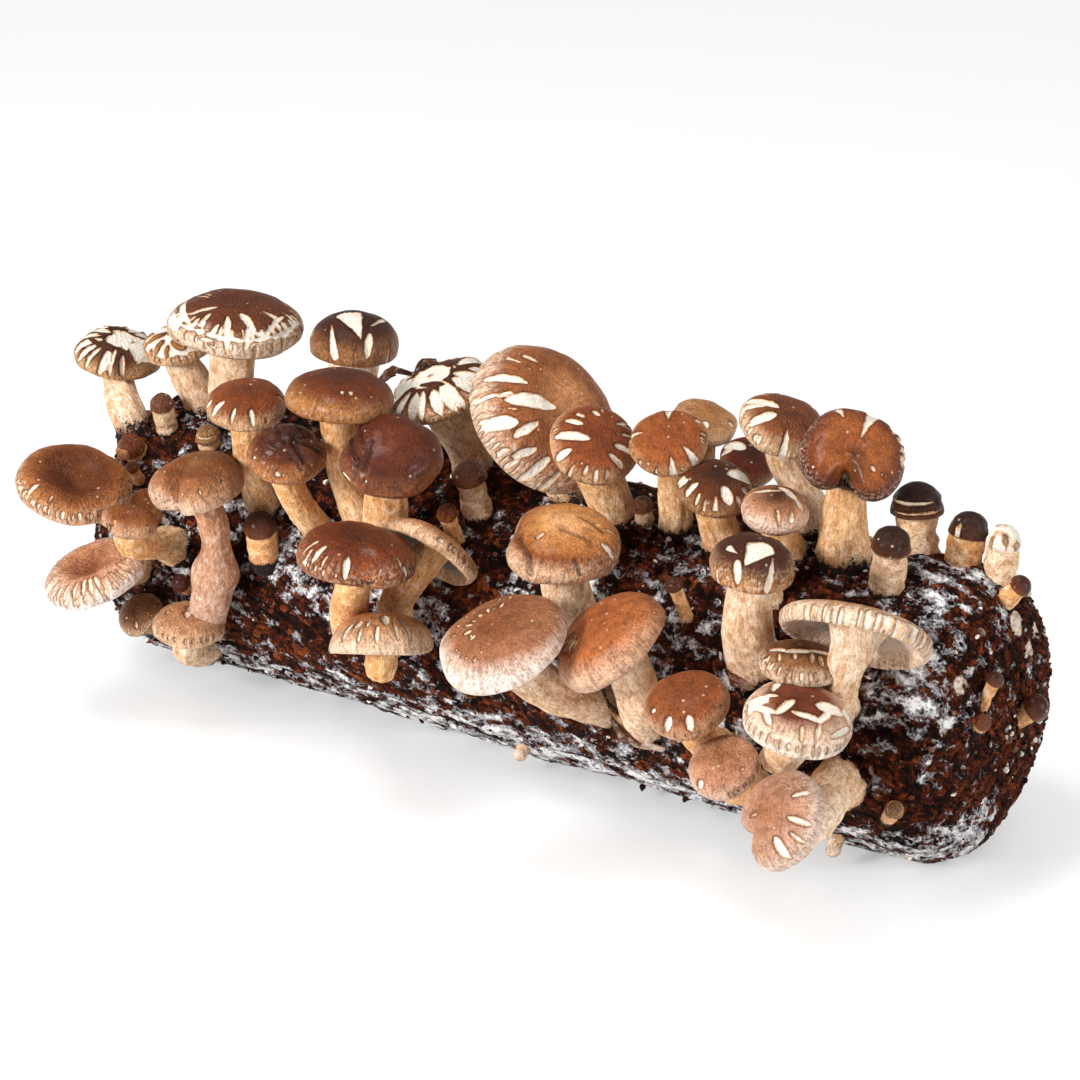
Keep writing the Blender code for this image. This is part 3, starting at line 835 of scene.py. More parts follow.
# %% Turning the cap blanks
BLANK_RADIUS = 10
BLANK_HEIGHT = 4
UNDER_OUTLINE = (
    (1.0, 0.0), (0.992, -0.5), (0.968, -0.86), (0.93, -1.0), (0.89, -0.92), (0.86, -0.6),
    (0.835, -0.1), (0.79, 0.25), (0.62, 0.85), (0.42, 1.25), (0.2, 1.45), (0.0, 1.5),
)
Blank = namedtuple("Blank", "thing angle out height way under column")


def dome_outline(rows):
    """From the top to the rim: how far out and how high, both from 0 to 1."""
    turns = [math.pi / 2 * i / rows for i in range(rows + 1)]
    return [(math.sin(turn) ** 0.8, math.cos(turn)) for turn in turns]


def under_outline(rows):
    """From the rim round its lip and up the gills, evenly spaced along the line."""
    along = distances_along(np.array(UNDER_OUTLINE) * [1, 0.1])
    return between(np.linspace(0, along[-1], rows + 1)[1:], along, UNDER_OUTLINE).tolist()


def columns_of(angle, sides):
    return np.round(angle / (2 * math.pi) * sides).astype(int)


def cap_blank(name, sides, dome_rows, under_rows):
    rows = dome_outline(dome_rows) + under_outline(under_rows)
    outline = [(out * BLANK_RADIUS, 0, height * BLANK_HEIGHT) for out, height in rows]
    thing = turned(name, outline, sides, (0, 0, 1))
    x, y, z = points_of(thing).T
    rows = np.array(rows)
    spots = np.c_[np.hypot(x, y) / BLANK_RADIUS, z / BLANK_HEIGHT]
    row = np.linalg.norm(spots[:, None] - rows, axis=2).argmin(axis=1)
    angle = np.arctan2(y, x)
    way = np.where(row <= dome_rows, row / dome_rows, 1 + (row - dome_rows) / under_rows)
    print(name, "has", len(angle), "points")
    return Blank(thing, angle, *rows[row].T, way, row > dome_rows, columns_of(angle, sides))


LARGE_CAP = cap_blank("large_cap_blank", 168, 46, 18)
MEDIUM_CAP = cap_blank("medium_cap_blank", 120, 36, 14)
SMALL_CAP = cap_blank("small_cap_blank", 88, 28, 12)

# %% [markdown]
# ## Splits in the skin
# Each split is a thin shape on the cap's skin laid out flat. For every point of the
# cap the code works out how many mm it lies inside the nearest split, or outside
# as a negative number. That one number digs the groove in the mesh, and the finish
# reads it again to paint a crisp edge that is finer than the mesh.

# %% Strips on the flat skin
FRAY = 0.28
FLAT_LIMIT = 1.25
PATCH_SPREAD = 1.15
CREASE_WIDTH = 2


def laid_flat(angle, reach):
    """A place on the skin as a flat map, in mm from the cap's middle."""
    return np.stack([reach * np.cos(angle), reach * np.sin(angle)], axis=-1)


def inside_strip(spots, start, end, width, widens, bend=0.0):
    """How far inside a strip, in mm. It is a lens between its ends, or widens towards its end."""
    along = end - start
    length = np.linalg.norm(along)
    away = spots - start
    part = away @ along / length ** 2
    side = (away[:, 0] * along[1] - away[:, 1] * along[0]) / length
    held = np.clip(part, 0, 1)
    side = side - bend * length * 4 * held * (1 - held)
    lens = 1 - np.abs(2 * held - 1) ** 2.4
    half = width / 2 * (held ** 0.8 if widens else lens ** 0.7)
    past = np.abs(part - held) * length
    return half - np.hypot(side, past * 1.5)


def radial_lines(kind, numbers, column_turn, dice):
    """Slits or wedges, as angle, place, angle, place, width and bend.

    Each lies on a column of the mesh, so a fine line stays whole.
    """
    if not kind.endswith("s"):
        lines = [(*numbers, 0.0)]
    else:
        count, first, last, inner, outer, width = numbers
        step = (last - first) / count
        places = [first + step * (i + 0.5 + 0.5 * (dice.random() - 0.5)) for i in range(int(count))]
        lines = []
        for at in places:
            low = inner + 0.22 * (outer - inner) * dice.random()
            high = outer - 0.08 * dice.random()
            wide = width * (0.6 + 0.7 * dice.random())
            lines.append((at, low, high, wide, 0.12 * (dice.random() - 0.5)))
    for at, low, high, wide, bend in lines:
        angle = round(math.radians(at) / column_turn) * column_turn
        yield angle, low, angle, high, wide, bend


print("strip tools ready")

# %% [markdown]
# Straight splits are strips. An arc, a bare patch and an island of skin each have a
# sum of their own. Open flesh is whatever is inside any of them, and a strip or an
# island of skin is taken out of it again.

# %% Measuring splits and dents
def measure_splits(look, blank, span, seed):
    """For every point of a cap, how far inside open flesh it lies, in mm."""
    dice = np.random.default_rng(seed)
    column_turn = math.pi / blank.column.max()
    spots = laid_flat(blank.angle, np.minimum(blank.way, FLAT_LIMIT) * span)
    frayed = rough(np.c_[spots, np.zeros(len(spots))], 2.2, seed, 2)
    open_flesh = np.full(len(spots), -9.0)
    for kind, numbers in splits_in(look.splits):
        if kind == "arc":
            first, last, place, width = numbers
            part = (np.degrees(blank.angle) - first) % 360 / ((last - first) % 360)
            lens = np.clip(1 - (2 * part - 1) ** 2, 0, 1) ** 0.5
            inside = np.where(part < 1, width / 2 * lens - np.abs(blank.way - place) * span, -1.0)
        elif kind == "bare":
            first, last, inner, outer = numbers
            inside = np.minimum(blank.way - inner, outer - blank.way) * span + frayed * 1.6
            if last - first < 360:
                turn = (np.degrees(blank.angle) - first) % 360
                inward = np.radians(np.minimum(turn, last - first - turn))
                inside = np.minimum(inside, inward * span * np.minimum(blank.way, 1) + frayed)
        elif kind == "plate":
            at, place, long, wide = numbers
            radial = laid_flat(math.radians(at), 1)
            away = spots - radial * place * span
            ahead, aside = away @ radial, away @ [-radial[1], radial[0]]
            inside = (1 - np.hypot(ahead / long, aside / wide)) * min(long, wide)
        else:
            if kind in ("cut", "fork", "patch"):
                first, low, last, high, width = numbers
                width = width * (PATCH_SPREAD if kind == "patch" else 1)
                lines = [(math.radians(first), low, math.radians(last), high, width, 0.0)]
            else:
                lines = radial_lines(kind, numbers, column_turn, dice)
            widens = kind in ("wedge", "wedges", "fork")
            strips = [
                inside_strip(
                    spots, laid_flat(start, low * span), laid_flat(end, high * span), wide, widens, bend,
                )
                for start, low, end, high, wide, bend in lines
            ]
            inside = np.max(strips, axis=0)
        if kind == "patch":
            open_flesh = np.minimum(open_flesh, -inside - frayed * 0.5 - 0.2)
        elif kind == "plate":
            open_flesh = np.minimum(open_flesh, frayed * 0.7 - inside)
        else:
            open_flesh = np.maximum(open_flesh, inside)
    return open_flesh + frayed * FRAY


def measure_dents(look, blank, span):
    """For every point of a cap, how many mm its skin sinks, and how strongly its narrow creases are painted
    dark, as painted shade.
    """
    spots = laid_flat(blank.angle, np.minimum(blank.way, FLAT_LIMIT) * span)
    sunk = np.zeros(len(spots))
    painted_crease_shade = np.zeros(len(spots))
    for first, low, last, high, width, depth in rows_in(look.dents):
        start = laid_flat(math.radians(first), low * span)
        along = laid_flat(math.radians(last), high * span) - start
        part = np.clip((spots - start) @ along / (along @ along + 1e-6), 0, 1)
        near = bell(np.linalg.norm(spots - start - part[:, None] * along, axis=1) / width)
        sunk = sunk + depth * near
        if width < CREASE_WIDTH:
            painted_crease_shade = np.maximum(painted_crease_shade, near)
    return sunk, painted_crease_shade


print("measuring tools ready")

# %% [markdown]
# ## Shaping a cap
# A copy of the blank is stretched to its radius and height. Then come the things
# that make it a mushroom: lobes in the rim, a sunken middle, wrinkles, a notch, and
# grooves where the skin has split. The gills are every second column of the
# underside raised, which makes real folds that catch the light.

# %% Shaping caps
GROOVE_DEPTH = 0.7
GILL_HEIGHT = 0.5
GILLS_FROM = 1.38
NOTCH_WIDTH = 0.42
DIP_WIDTH = 0.42
FURROW_WIDTH = 0.3
FURROW_DEPTH = 11.0
LARGE_OVER = 18.5
MEDIUM_OVER = 12.6


def turn_matrix(facing):
    azimuth, tilt = (math.radians(angle) for angle in facing)
    c, s = math.cos(azimuth), math.sin(azimuth)
    spin = np.array([[c, -s, 0], [s, c, 0], [0, 0, 1]])
    c, s = math.cos(tilt), math.sin(tilt)
    lean = np.array([[c, 0, s], [0, 1, 0], [-s, 0, c]])
    return spin @ lean @ spin.T


def press_out_of_round(points, grown, out):
    squeeze, way = grown.oval
    across = np.append(laid_flat(math.radians(way), 1), 0)
    if grown.notch:
        at, depth = grown.notch
        off = np.arctan2(points[:, 1], points[:, 0]) - math.radians(at)
        off = np.arctan2(np.sin(off), np.cos(off))
        pull = 1 - depth * bell(off / NOTCH_WIDTH) * out * out
        points = points * np.c_[pull, pull, np.ones(len(pull))]
        furrow = depth * FURROW_DEPTH * bell(off / FURROW_WIDTH) * smooth(0.15, 0.9, out)
        points[:, 2] -= furrow * (points[:, 2] > 0)
    return points - np.outer(points @ across * (1 - squeeze), across)


def thickness(grown, look):
    """A cap's flesh at its thinnest, under its dip and its deepest wide dent."""
    wide = [depth for *_, width, depth in rows_in(look.dents) if width > CREASE_WIDTH]
    return grown.height - grown.dip - max(wide, default=0)


def blank_for(radius):
    if radius > LARGE_OVER:
        return LARGE_CAP
    return MEDIUM_CAP if radius > MEDIUM_OVER else SMALL_CAP


def grow_cap(name, grown, look, seed):
    blank = blank_for(grown.radius)
    cap = placed(name, blank.thing.data.copy())
    angle, way, out, under = blank.angle, blank.way, blank.out, blank.under
    ring = round_places(angle, 0)
    span = grown.radius * 1.05 + grown.height * 0.45
    lip = grown.radius * look.lip
    crown = min(1.0, 0.42 * thickness(grown, look) / (1.5 * lip))
    lobes = rough(ring + [0, 0, seed * 3.7], 0.9, seed, 2)
    waves = rough(ring + [0, 5, seed * 2.3], 0.8, seed + 40, 2)
    below = lip * np.where(blank.height > 0, blank.height * crown, blank.height)
    above = blank.height * grown.height - grown.dip * bell(out / DIP_WIDTH)
    height = np.where(under, below, above) + look.lobes * grown.radius * 1.6 * waves * out ** 3
    radius = grown.radius * (1 + look.lobes * lobes * 2)
    points = np.c_[ring[:, :2] * (radius * out)[:, None], height]
    outward = unit(points + [0, 0, grown.height * 0.8])
    swell = cloud(points, grown.radius * 0.55, seed + 3) * grown.radius * 0.018
    swell = swell + cloud(points, 3.2, seed + 5) * 0.16
    folds = np.clip(1 - np.abs(rough(points, 5.0, seed + 8, 2)) * 2.2, 0, 1) ** 2
    creased = 0.25 + 0.75 * smooth(-0.1, 0.5, cloud(points, grown.radius * 0.8, seed + 17))
    swell = swell - look.wrinkle * creased * folds * smooth(1.05, 0.6, way)
    sunk, painted_crease_shade = measure_dents(look, blank, span)
    flesh = np.where(way > 1.3, -2.0, measure_splits(look, blank, span, seed))
    groove = smooth(-0.3, 0.5, flesh) * GROOVE_DEPTH
    points = points + outward * ((swell - sunk - groove) * (1 - smooth(1.0, 1.25, way)))[:, None]
    gills = smooth(GILLS_FROM, GILLS_FROM + 0.12, way) * smooth(2.0, 1.85, way)
    points[:, 2] += gills * GILL_HEIGHT * (blank.column % 2 - 0.5)
    points = press_out_of_round(points, grown, out)
    move_points(cap, points @ turn_matrix(grown.facing).T + np.array(grown.cap))
    colour_cap(cap, look, blank, flesh, painted_crease_shade, seed)
    return cap


print("cap tools ready")

# %% [markdown]
# The colour goes from the middle to the rim with some clouds in it, and is painted paler on
# one side and darker on the other, as painted light and shade. Dark skin gets a warmer brown, as real
# skin does, because a photograph's dark browns are redder than its light ones.

# %% Mixing the caps' colours
SKIN_POWER = np.array((0.98, 1.06, 1.30, 1.0))
GILL_COLOUR = np.array(paint("ecd8c8"))
GILL_PAINTED_SHADE = np.array(paint("d8b89c"))
CREASE_SHADE = 0.6


def three_tones(codes, amount):
    """Colours between a look's three or four, for amounts from 0 to 1."""
    tones = paints(codes)
    tones = tones ** (1 + (SKIN_POWER - 1) * (1 - tones[:, :1]))
    return between(amount, (0.0, 0.55, 1.0) if len(tones) == 3 else (0.0, 0.3, 0.65, 1.0), tones)


def colour_cap(cap, look, blank, flesh, painted_crease_shade, seed):
    angle, way = blank.angle, blank.way
    around = round_places(angle, way)
    lit_side_at, lit_side_by = look.pale
    # The skin is painted paler towards the look's pale side and darker away from it, as painted light and
    # shade.
    painted_side_light = lit_side_by * np.cos(angle - math.radians(lit_side_at))
    amount = way + 0.10 * rough(around, 0.6, seed + 11) + painted_side_light * way
    # Narrow creases are painted darker here, as painted shade.
    skin = three_tones(look.skin, np.clip(amount, 0, 1)) * (1 - CREASE_SHADE * painted_crease_shade)[:, None]
    gill = smooth(1.22, 1.42, way)
    # The gills are painted darker towards the stem, as painted shade deep under the cap, and a look's gills
    # below 1 paints the whole underside darker as shade.
    under = between(smooth(1.4, 1.9, way), (0, 1), (GILL_COLOUR, GILL_PAINTED_SHADE)) * look.gills
    skin = skin * (1 - gill)[:, None] + under * gill[:, None]
    fleck = look.flecks * smooth(0.5, 0.95, way) * smooth(1.2, 1.0, way)
    record(cap, skin=skin, open_flesh=flesh, gill=gill, fleck=fleck, around=around, way=way, gloss=look.gloss)


print("under a cap, from its rim to its stem:", GILL_COLOUR.round(2), GILL_PAINTED_SHADE.round(2))

# %% [markdown]
# ## Stems
# A shiitake stem is tough and fibrous. It leaves the log squarely and bends up to
# carry its cap. A straight turned tube is modelled once, and each stem is a copy
# whose rings are moved onto a curved line. The code carries a frame along the line
# so that the tube doesn't twist.

# %% The tube's blank and its bending
TUBE_RADIUS = 10
TUBE_LENGTH = 60
NEVER_ALONG = (0.31, 0.92, 0.24)

Tube = namedtuple("Tube", "thing angle way out")


def tube_blank(name, sides, rows):
    side = [(TUBE_RADIUS, 0, TUBE_LENGTH * i / rows) for i in range(rows + 1)]
    thing = turned(name, [(0, 0, 0), *side, (0, 0, TUBE_LENGTH)], sides, (0, 0, 1))
    x, y, z = points_of(thing).T
    return Tube(thing, np.arctan2(y, x), z / TUBE_LENGTH, np.hypot(x, y) / TUBE_RADIUS)


def bend_tube(thing, line, radius, tube):
    """Moves a tube's rings onto the line, and returns how far along it each point now is."""
    along = distances_along(line)
    reach = tube.way * along[-1]
    centre = between(reach, along, line)
    ahead = between(np.clip(reach + 1, 0, along[-1]), along, line)
    behind = between(np.clip(reach - 1, 0, along[-1]), along, line)
    forward = unit(ahead - behind)
    sideways = unit(np.cross(forward, NEVER_ALONG))
    third = np.cross(forward, sideways)
    offset = sideways * np.cos(tube.angle)[:, None] + third * np.sin(tube.angle)[:, None]
    move_points(thing, centre + offset * (radius * tube.out)[:, None])
    return reach


stem_tube = tube_blank("stem_blank", 40, 44)
print("stem blank:", len(stem_tube.way), "points")

# %% [markdown]
# The line is a smooth curve from the foot to the cap. Round it the stem swells at
# the foot and flares under the cap, and its ribs run along it.

# %% Growing stems
LOG_RADIUS = 51.0
LOG_AXIS_HEIGHT = 48.0
STEM_NECK = 2.5
STEM_RISE = 0.5
STEM_BEND = 0.3
STEM_STEPS = 40
FOOT_DEPTH = 4.0
STEM_TONES = {
    "golden": "ffcc8e f8be82 fcd6a6", "cream": "fce8d2 f6d2ac f8d8ba",
    "grey": "fff0e2 fae0c4 f6c898", "mauve": "e2a67c d0a286 e2bea8",
}


def surface_point(foot, depth=0.0):
    """A foot's place on the log or below its skin, and the way out of the log there."""
    along, around = foot
    turn = math.radians(around)
    way_out = np.array([0, -math.sin(turn), math.cos(turn)])
    return np.array([along, 0, LOG_AXIS_HEIGHT]) + way_out * (LOG_RADIUS - depth), way_out


def stem_line(grown, reach):
    """The stem's middle line, from under the log's skin into the cap."""
    start, out_of_log = surface_point(grown.foot)
    top = turn_matrix(grown.facing)[:, 2]
    end = np.array(grown.cap) + top * reach
    span = np.linalg.norm(end - start)
    neck = end - top * (STEM_NECK + reach)
    near_foot = start + unit(out_of_log + [0, 0, STEM_RISE]) * span * STEM_BEND + grown.via
    near_cap = neck - top * span * STEM_BEND + grown.via
    t = np.linspace(0, 1, STEM_STEPS)[:, None]
    s = 1 - t
    curve = start * s ** 3 + near_foot * 3 * s * s * t + near_cap * 3 * s * t * t + neck * t ** 3
    return np.vstack([surface_point(grown.foot, FOOT_DEPTH)[0], curve, end])


def grow_stem(name, grown, look, seed):
    stem = placed(name, stem_tube.thing.data.copy())
    line = stem_line(grown, 0.3 * thickness(grown, look))
    thin, thick = grown.stem
    angle, t = stem_tube.angle, stem_tube.way
    length = distances_along(line)[-1]
    ring = round_places(angle, t * length / 14)
    radius = thick + (thin - thick) * t + grown.swell * bell((t - 0.45) / 0.2)
    radius = radius + 1.3 * np.exp(-t * length / 5.0) + look.flare * np.exp(-(1 - t) * length / 5.0)
    for place, amount, width in look.bulges:
        radius = radius + amount * bell((t - place) / width)
    radius = radius * (1 + 0.12 * cloud(ring + [0, 0, seed], 1.1, seed))
    ribs = cloud(ring * [6, 6, 1.1], 1.0, seed + 2) * 0.28 + cloud(ring * [3, 3, 2.5], 1.0, seed + 4) * 0.42
    torn = np.exp(-np.maximum(t * length - FOOT_DEPTH, 0) / 4.5)
    radius = radius + ribs + 1.5 * torn * rough(ring * 4, 1.0, seed + 6, 2)
    reached = bend_tube(stem, line, radius, stem_tube)
    mottle = t + 0.2 * rough(ring, 0.8, seed + 7)
    skin = between(1 - mottle, (0.0, 0.35, 1.0), paints(STEM_TONES[look.stem]))
    foot = np.exp(-np.maximum(reached - FOOT_DEPTH, 0) / 4.0)
    record(stem, skin=skin, foot=foot, around=round_places(angle, reached / 12))
    return stem


print("a foot on top of the log:", surface_point((0, 0))[0])

# %% [markdown]
# ## The skin's finish
# A shiitake's skin is like fine leather: grained, with fibres that run from the
# middle to the rim, satin where it is whole. The flesh in a split is matt and
# cream-white, tan just inside its edge, and the skin is darker along the edge. The finish reads what the
# shaping kept on the vertices, and adds the grain that is finer than the mesh.

# %% Cap skin
def cap_finish():
    made = Finish("cap_skin", roughness=0.5, specular=0.3)
    place = made.places()
    skin = made.attribute("skin", "Color")
    around = made.attribute("around", "Vector")
    flesh = made.attribute("open_flesh")
    gill = made.attribute("gill")
    streaks = made.cloud(around, (14, 14, 2.6), 3, 0.6) - 0.5
    hairs = made.cloud(around, (44, 44, 11.0), 3, 0.6) - 0.5
    grain = made.cloud(place, 1300.0, 3, 0.7) - 0.5
    mottle = made.cloud(place, 260.0, 3, 0.6) - 0.5
    leather = made.cells(place, 900.0) - 0.45
    scales = made.cells(around, (20, 20, 15), "SMOOTH_F1")
    outer = made.attribute("way").step(0.15, 0.7)
    tone = mottle * 0.7 + (streaks * 0.6 + hairs * 0.8) * outer + grain * 0.85 + leather * 0.12
    tint = made.mix(tone.step(-0.30, 0.30), (0.56, 0.47, 0.40, 1), (1.48, 1.50, 1.54, 1))
    toned = made.tinted(skin, tint)
    fleck = (0.62 - scales + hairs * 0.7 + grain * 0.5).step(0.16, 0.34) * made.attribute("fleck")
    toned = made.mix(fleck * 0.8, toned, paint("f0dac0"))
    spots = made.cells(place, 300.0)
    speck = (0.17 - spots).step(0.0, 0.05) * spots.beside("Color").step(0.62, 0.66)
    toned = made.mix(speck * 0.6, toned, paint("ecd2b4"))
    ragged = flesh + grain * 0.5 + hairs * 0.5
    flesh_colour = made.mix((hairs + grain).step(-0.25, 0.15), paint("f2dfc4"), paint("fffaf0"))
    darkened = made.mix(ragged.step(-0.9, -0.2) * 0.75, toned, made.tinted(toned, (0.45, 0.34, 0.28, 1)))
    golden = made.mix(ragged.step(0.05, 0.55), paint("e2b284"), flesh_colour)
    opened = made.mix(ragged.step(-0.10, 0.10), darkened, golden)
    folds = made.cloud(around, (60, 60, 0.6), 2, 0.5)
    # Darker stripes between the gills are painted shade between the folds.
    shaded_gill_stripes = made.mix(folds.step(0.35, 0.65), made.tinted(skin, (0.80, 0.72, 0.64, 1)), skin)
    made.give("Base Color", made.mix(gill, opened, shaded_gill_stripes))
    whole = (1 - ragged.step(-0.1, 0.2)) * (1 - gill)
    made.give("Roughness", 0.68 - whole * 0.31 + grain * 0.4)
    made.give("Coat Weight", made.attribute("gloss") * whole * 0.6)
    made.give("Coat Roughness", 0.25)
    height = streaks * 0.4 * outer + hairs * 0.5 * outer + grain * 1.5 + mottle * 0.7 + leather * 0.5
    made.bump(height - ragged.step(-0.3, 0.3) * 0.9 + folds * gill * 0.8, 0.0009)
    return made.material


CAP_SKIN = cap_finish()
print("finish:", CAP_SKIN.name)

# %% [markdown]
# ## The stem's finish
# The stem is cream to golden flesh with fibres along it. Towards the foot it is
# stained and holds dark crumbs of the log, and white threads of the fungus climb
# it.

# %% Stem flesh
def stem_finish():
    made = Finish("stem_flesh", roughness=0.75, specular=0.3)
    place = made.places()
    around = made.attribute("around", "Vector")
    foot = made.attribute("foot")
    fibres = made.cloud(around, (5, 5, 2.2), 3, 0.6) - 0.5
    threads = made.cloud(around, (20, 20, 7.0), 3, 0.65, 0.6) - 0.5
    scales = made.cloud(place, (360, 360, 288), 4, 0.7) - 0.5
    pores = made.cloud(place, 1400.0, 3, 0.7) - 0.5
    tone = fibres * 0.6 + threads * 0.7 + scales * 0.9 + pores * 0.7
    tint = made.mix(tone.step(-0.32, 0.26), (0.58, 0.42, 0.30, 1), (1.16, 1.20, 1.22, 1))
    toned = made.tinted(made.attribute("skin", "Color"), tint)
    ageing = made.cloud(around, (1.6, 1.6, 1.3), 2, 0.5, 0.5)
    aged = made.tinted(toned, (0.80, 0.60, 0.42, 1))
    toned = made.mix((ageing + scales * 0.3).step(0.52, 0.66) * 0.55, toned, aged)
    fuzz = (threads * 0.5 + scales * 1.2).step(0.04, 0.20)
    toned = made.mix(fuzz * 0.45, toned, paint("fff6ea"))
    dirt = made.mix((scales + pores).step(-0.1, 0.1), paint("8a5230"), paint("eadfd2"))
    crumb = (scales * 0.9 + pores * 0.8 + foot * 0.62).step(0.36, 0.46)
    made.give("Base Color", made.mix(crumb, made.mix(foot * 0.6, toned, dirt), paint("1c0a06")))
    made.bump(fibres * 0.6 + threads * 0.7 + scales + pores * 0.8 + crumb * 0.6, 0.0008)
    return made.material


STEM_FLESH = stem_finish()
print("finish:", STEM_FLESH.name)

# %% [markdown]
# ## Growing the mushrooms
# A mature mushroom is a cap and a stem, each in the place of its own solid. A young
# one is a single solid, so its cap and stem are joined into one piece.

# %% All caps and stems
for number, grown in MATURE.items():
    look = MATURE_LOOKS[number]
    cap = grow_cap(f"mushroom_cap_{number:02d}", grown, look, number)
    finished(cap, "cap_skin", f"cap_{number:02d}", CAP_SKIN)
    stem = grow_stem(f"mushroom_stem_{number:02d}", grown, look, number + 100)
    finished(stem, "stem_flesh", f"stem_{number:02d}", STEM_FLESH)

for number, grown in YOUNG.items():
    look = YOUNG_LOOKS[number]
    name = f"young_mushroom_{number:02d}"
    cap = grow_cap(name, grown, look._replace(lip=0.2), number + 50)
    stem = grow_stem(f"young_stem_{number:02d}", grown, look, number + 150)
    cap.data.materials.append(CAP_SKIN)
    stem.data.materials.append(STEM_FLESH)
    finished(joined([cap, stem], name), "young_flesh", f"young_{number:02d}")

print("mushrooms grown:", len(ALL_GROWN))

# %% [markdown]
# ## The log
# The log is sawdust packed in a bag and then stripped. Its skin is a crust of dark
# crumbs, threaded with the white fungus. The outline is spun about the log's long
# axis, and every point is pushed in or out: broad lumps first, then chips, then
# crumbs with crevices between.

# %% Turning and crumbling the log
LOG_HALF = 181.0
END_ROUNDING = 24.0
END_BULGE = 3.0
LOG_SIDES = 250
LOG_STEP = 1.2
LUMP_HEIGHT = 1.5
LUMP_SPACING = 0.034
CHIP_SIZE = 6.5
CRUMB_SIZE = 3.0
RELIEF = 1.1


def end_outline():
    """Half an end of the log, from its middle round to the side."""
    flat = LOG_RADIUS - END_ROUNDING
    steps = round(flat / LOG_STEP)
    face = [(flat * i / steps, LOG_HALF + END_BULGE * (1 - (i / steps) ** 2)) for i in range(steps)]
    steps = round(END_ROUNDING * math.pi / 2 / LOG_STEP)
    turns = [math.pi / 2 * i / steps for i in range(steps + 1)]
    first = LOG_HALF - END_ROUNDING
    return face + [(flat + END_ROUNDING * math.sin(t), first + END_ROUNDING * math.cos(t)) for t in turns]


near = end_outline()
outline = [(along, 0, out) for out, along in near] + [(-along, 0, out) for out, along in reversed(near)]
cuts = round(2 * (LOG_HALF - END_ROUNDING) / LOG_STEP) - 1
log = turned("sawdust_log", outline, LOG_SIDES, (1, 0, 0), cuts)
points = points_of(log)
out = np.hypot(points[:, 1], points[:, 2])
radial = points * [0, 1, 1] / np.maximum(out, 0.001)[:, None]
squarely = np.clip((np.abs(points[:, 0]) - (LOG_HALF - END_ROUNDING)) / END_ROUNDING, 0, 1)
outward = radial * np.sqrt(1 - squarely ** 2)[:, None]
outward[:, 0] = np.sign(points[:, 0]) * squarely
lumps = np.array([noise.noise(Vector(p) * MM / LUMP_SPACING) for p in points]) * LUMP_HEIGHT
points = points + radial * lumps[:, None] * smooth(1, 10, out)[:, None]
points[:, 2] += LOG_AXIS_HEIGHT

swirl = np.stack([cloud(points, 5, seed) for seed in (1, 2, 4)], axis=1)
chip_gap, chip_own = crumbs(points * [0.75, 1, 1], CHIP_SIZE, 3)
crumb_gap, crumb_own = crumbs(points + 3 * swirl, CRUMB_SIZE, 7)
relief = rough(points, 12, 20) + (chip_own - 0.5) * smooth(0, 0.4, chip_gap) * RELIEF
relief = relief + (crumb_own * 0.6 + 0.5) * (smooth(0, 0.45, crumb_gap) - 0.7) * RELIEF
collar = np.zeros(len(points))
for grown in ALL_GROWN:
    gap = np.linalg.norm(points - surface_point(grown.foot)[0], axis=1) - grown.stem[1]
    collar = np.maximum(collar, bell((gap - 1) / 3.2))
relief = relief + collar * (0.9 + 0.9 * rough(points, 3.0, 31, 2))
points = points + outward * relief[:, None]
points[:, 2] = np.maximum(points[:, 2], 0)
move_points(log, points)
print("log:", len(points), "points, relief from", round(relief.min(), 2), "to", round(relief.max(), 2), "mm")

# %% [markdown]
# The white of the fungus is denser low on the front and on the near end's shoulder
# than under the mushrooms. That is kept as one number a point, and the finish turns
# it into threads and tufts.

# %% Where the white threads are
x, y, z = points.T
low_front = smooth(40, 12, z) * smooth(10, -10, y)
mid_front = bell((z - 62) / 24) * smooth(-10, -30, y)
shoulder = bell((x - 158) / 24) * smooth(56, 86, z) * smooth(40, 0, y)
patches = rough(points * [0.6, 1, 1], 22, 60)
end_face = smooth(158, 178, x)
face_edge = end_face * smooth(-22, -40, y)
dark_end = bell((x - 165) / 22) * bell((z - 42) / 26) * smooth(-15, -35, y)
white = -0.12 + 0.20 * low_front + 0.12 * mid_front + 0.13 * shoulder + 0.11 * patches + 0.08 * collar
white = white - 0.14 * dark_end + 0.06 * face_edge - 0.03 * end_face
cream = 0.26 * end_face * smooth(40, 80, z) + 0.34 * end_face * smooth(24, 8, z) * smooth(-10, 15, y)
cream = cream + 0.03 + 0.08 * end_face
# The crevices between crumbs are kept here to be painted dark as shade.
record(log, white=white, pit=smooth(0.25, 0.0, crumb_gap), end_face=end_face, cream=cream)
print("white from", round(white.min(), 2), "to", round(white.max(), 2))
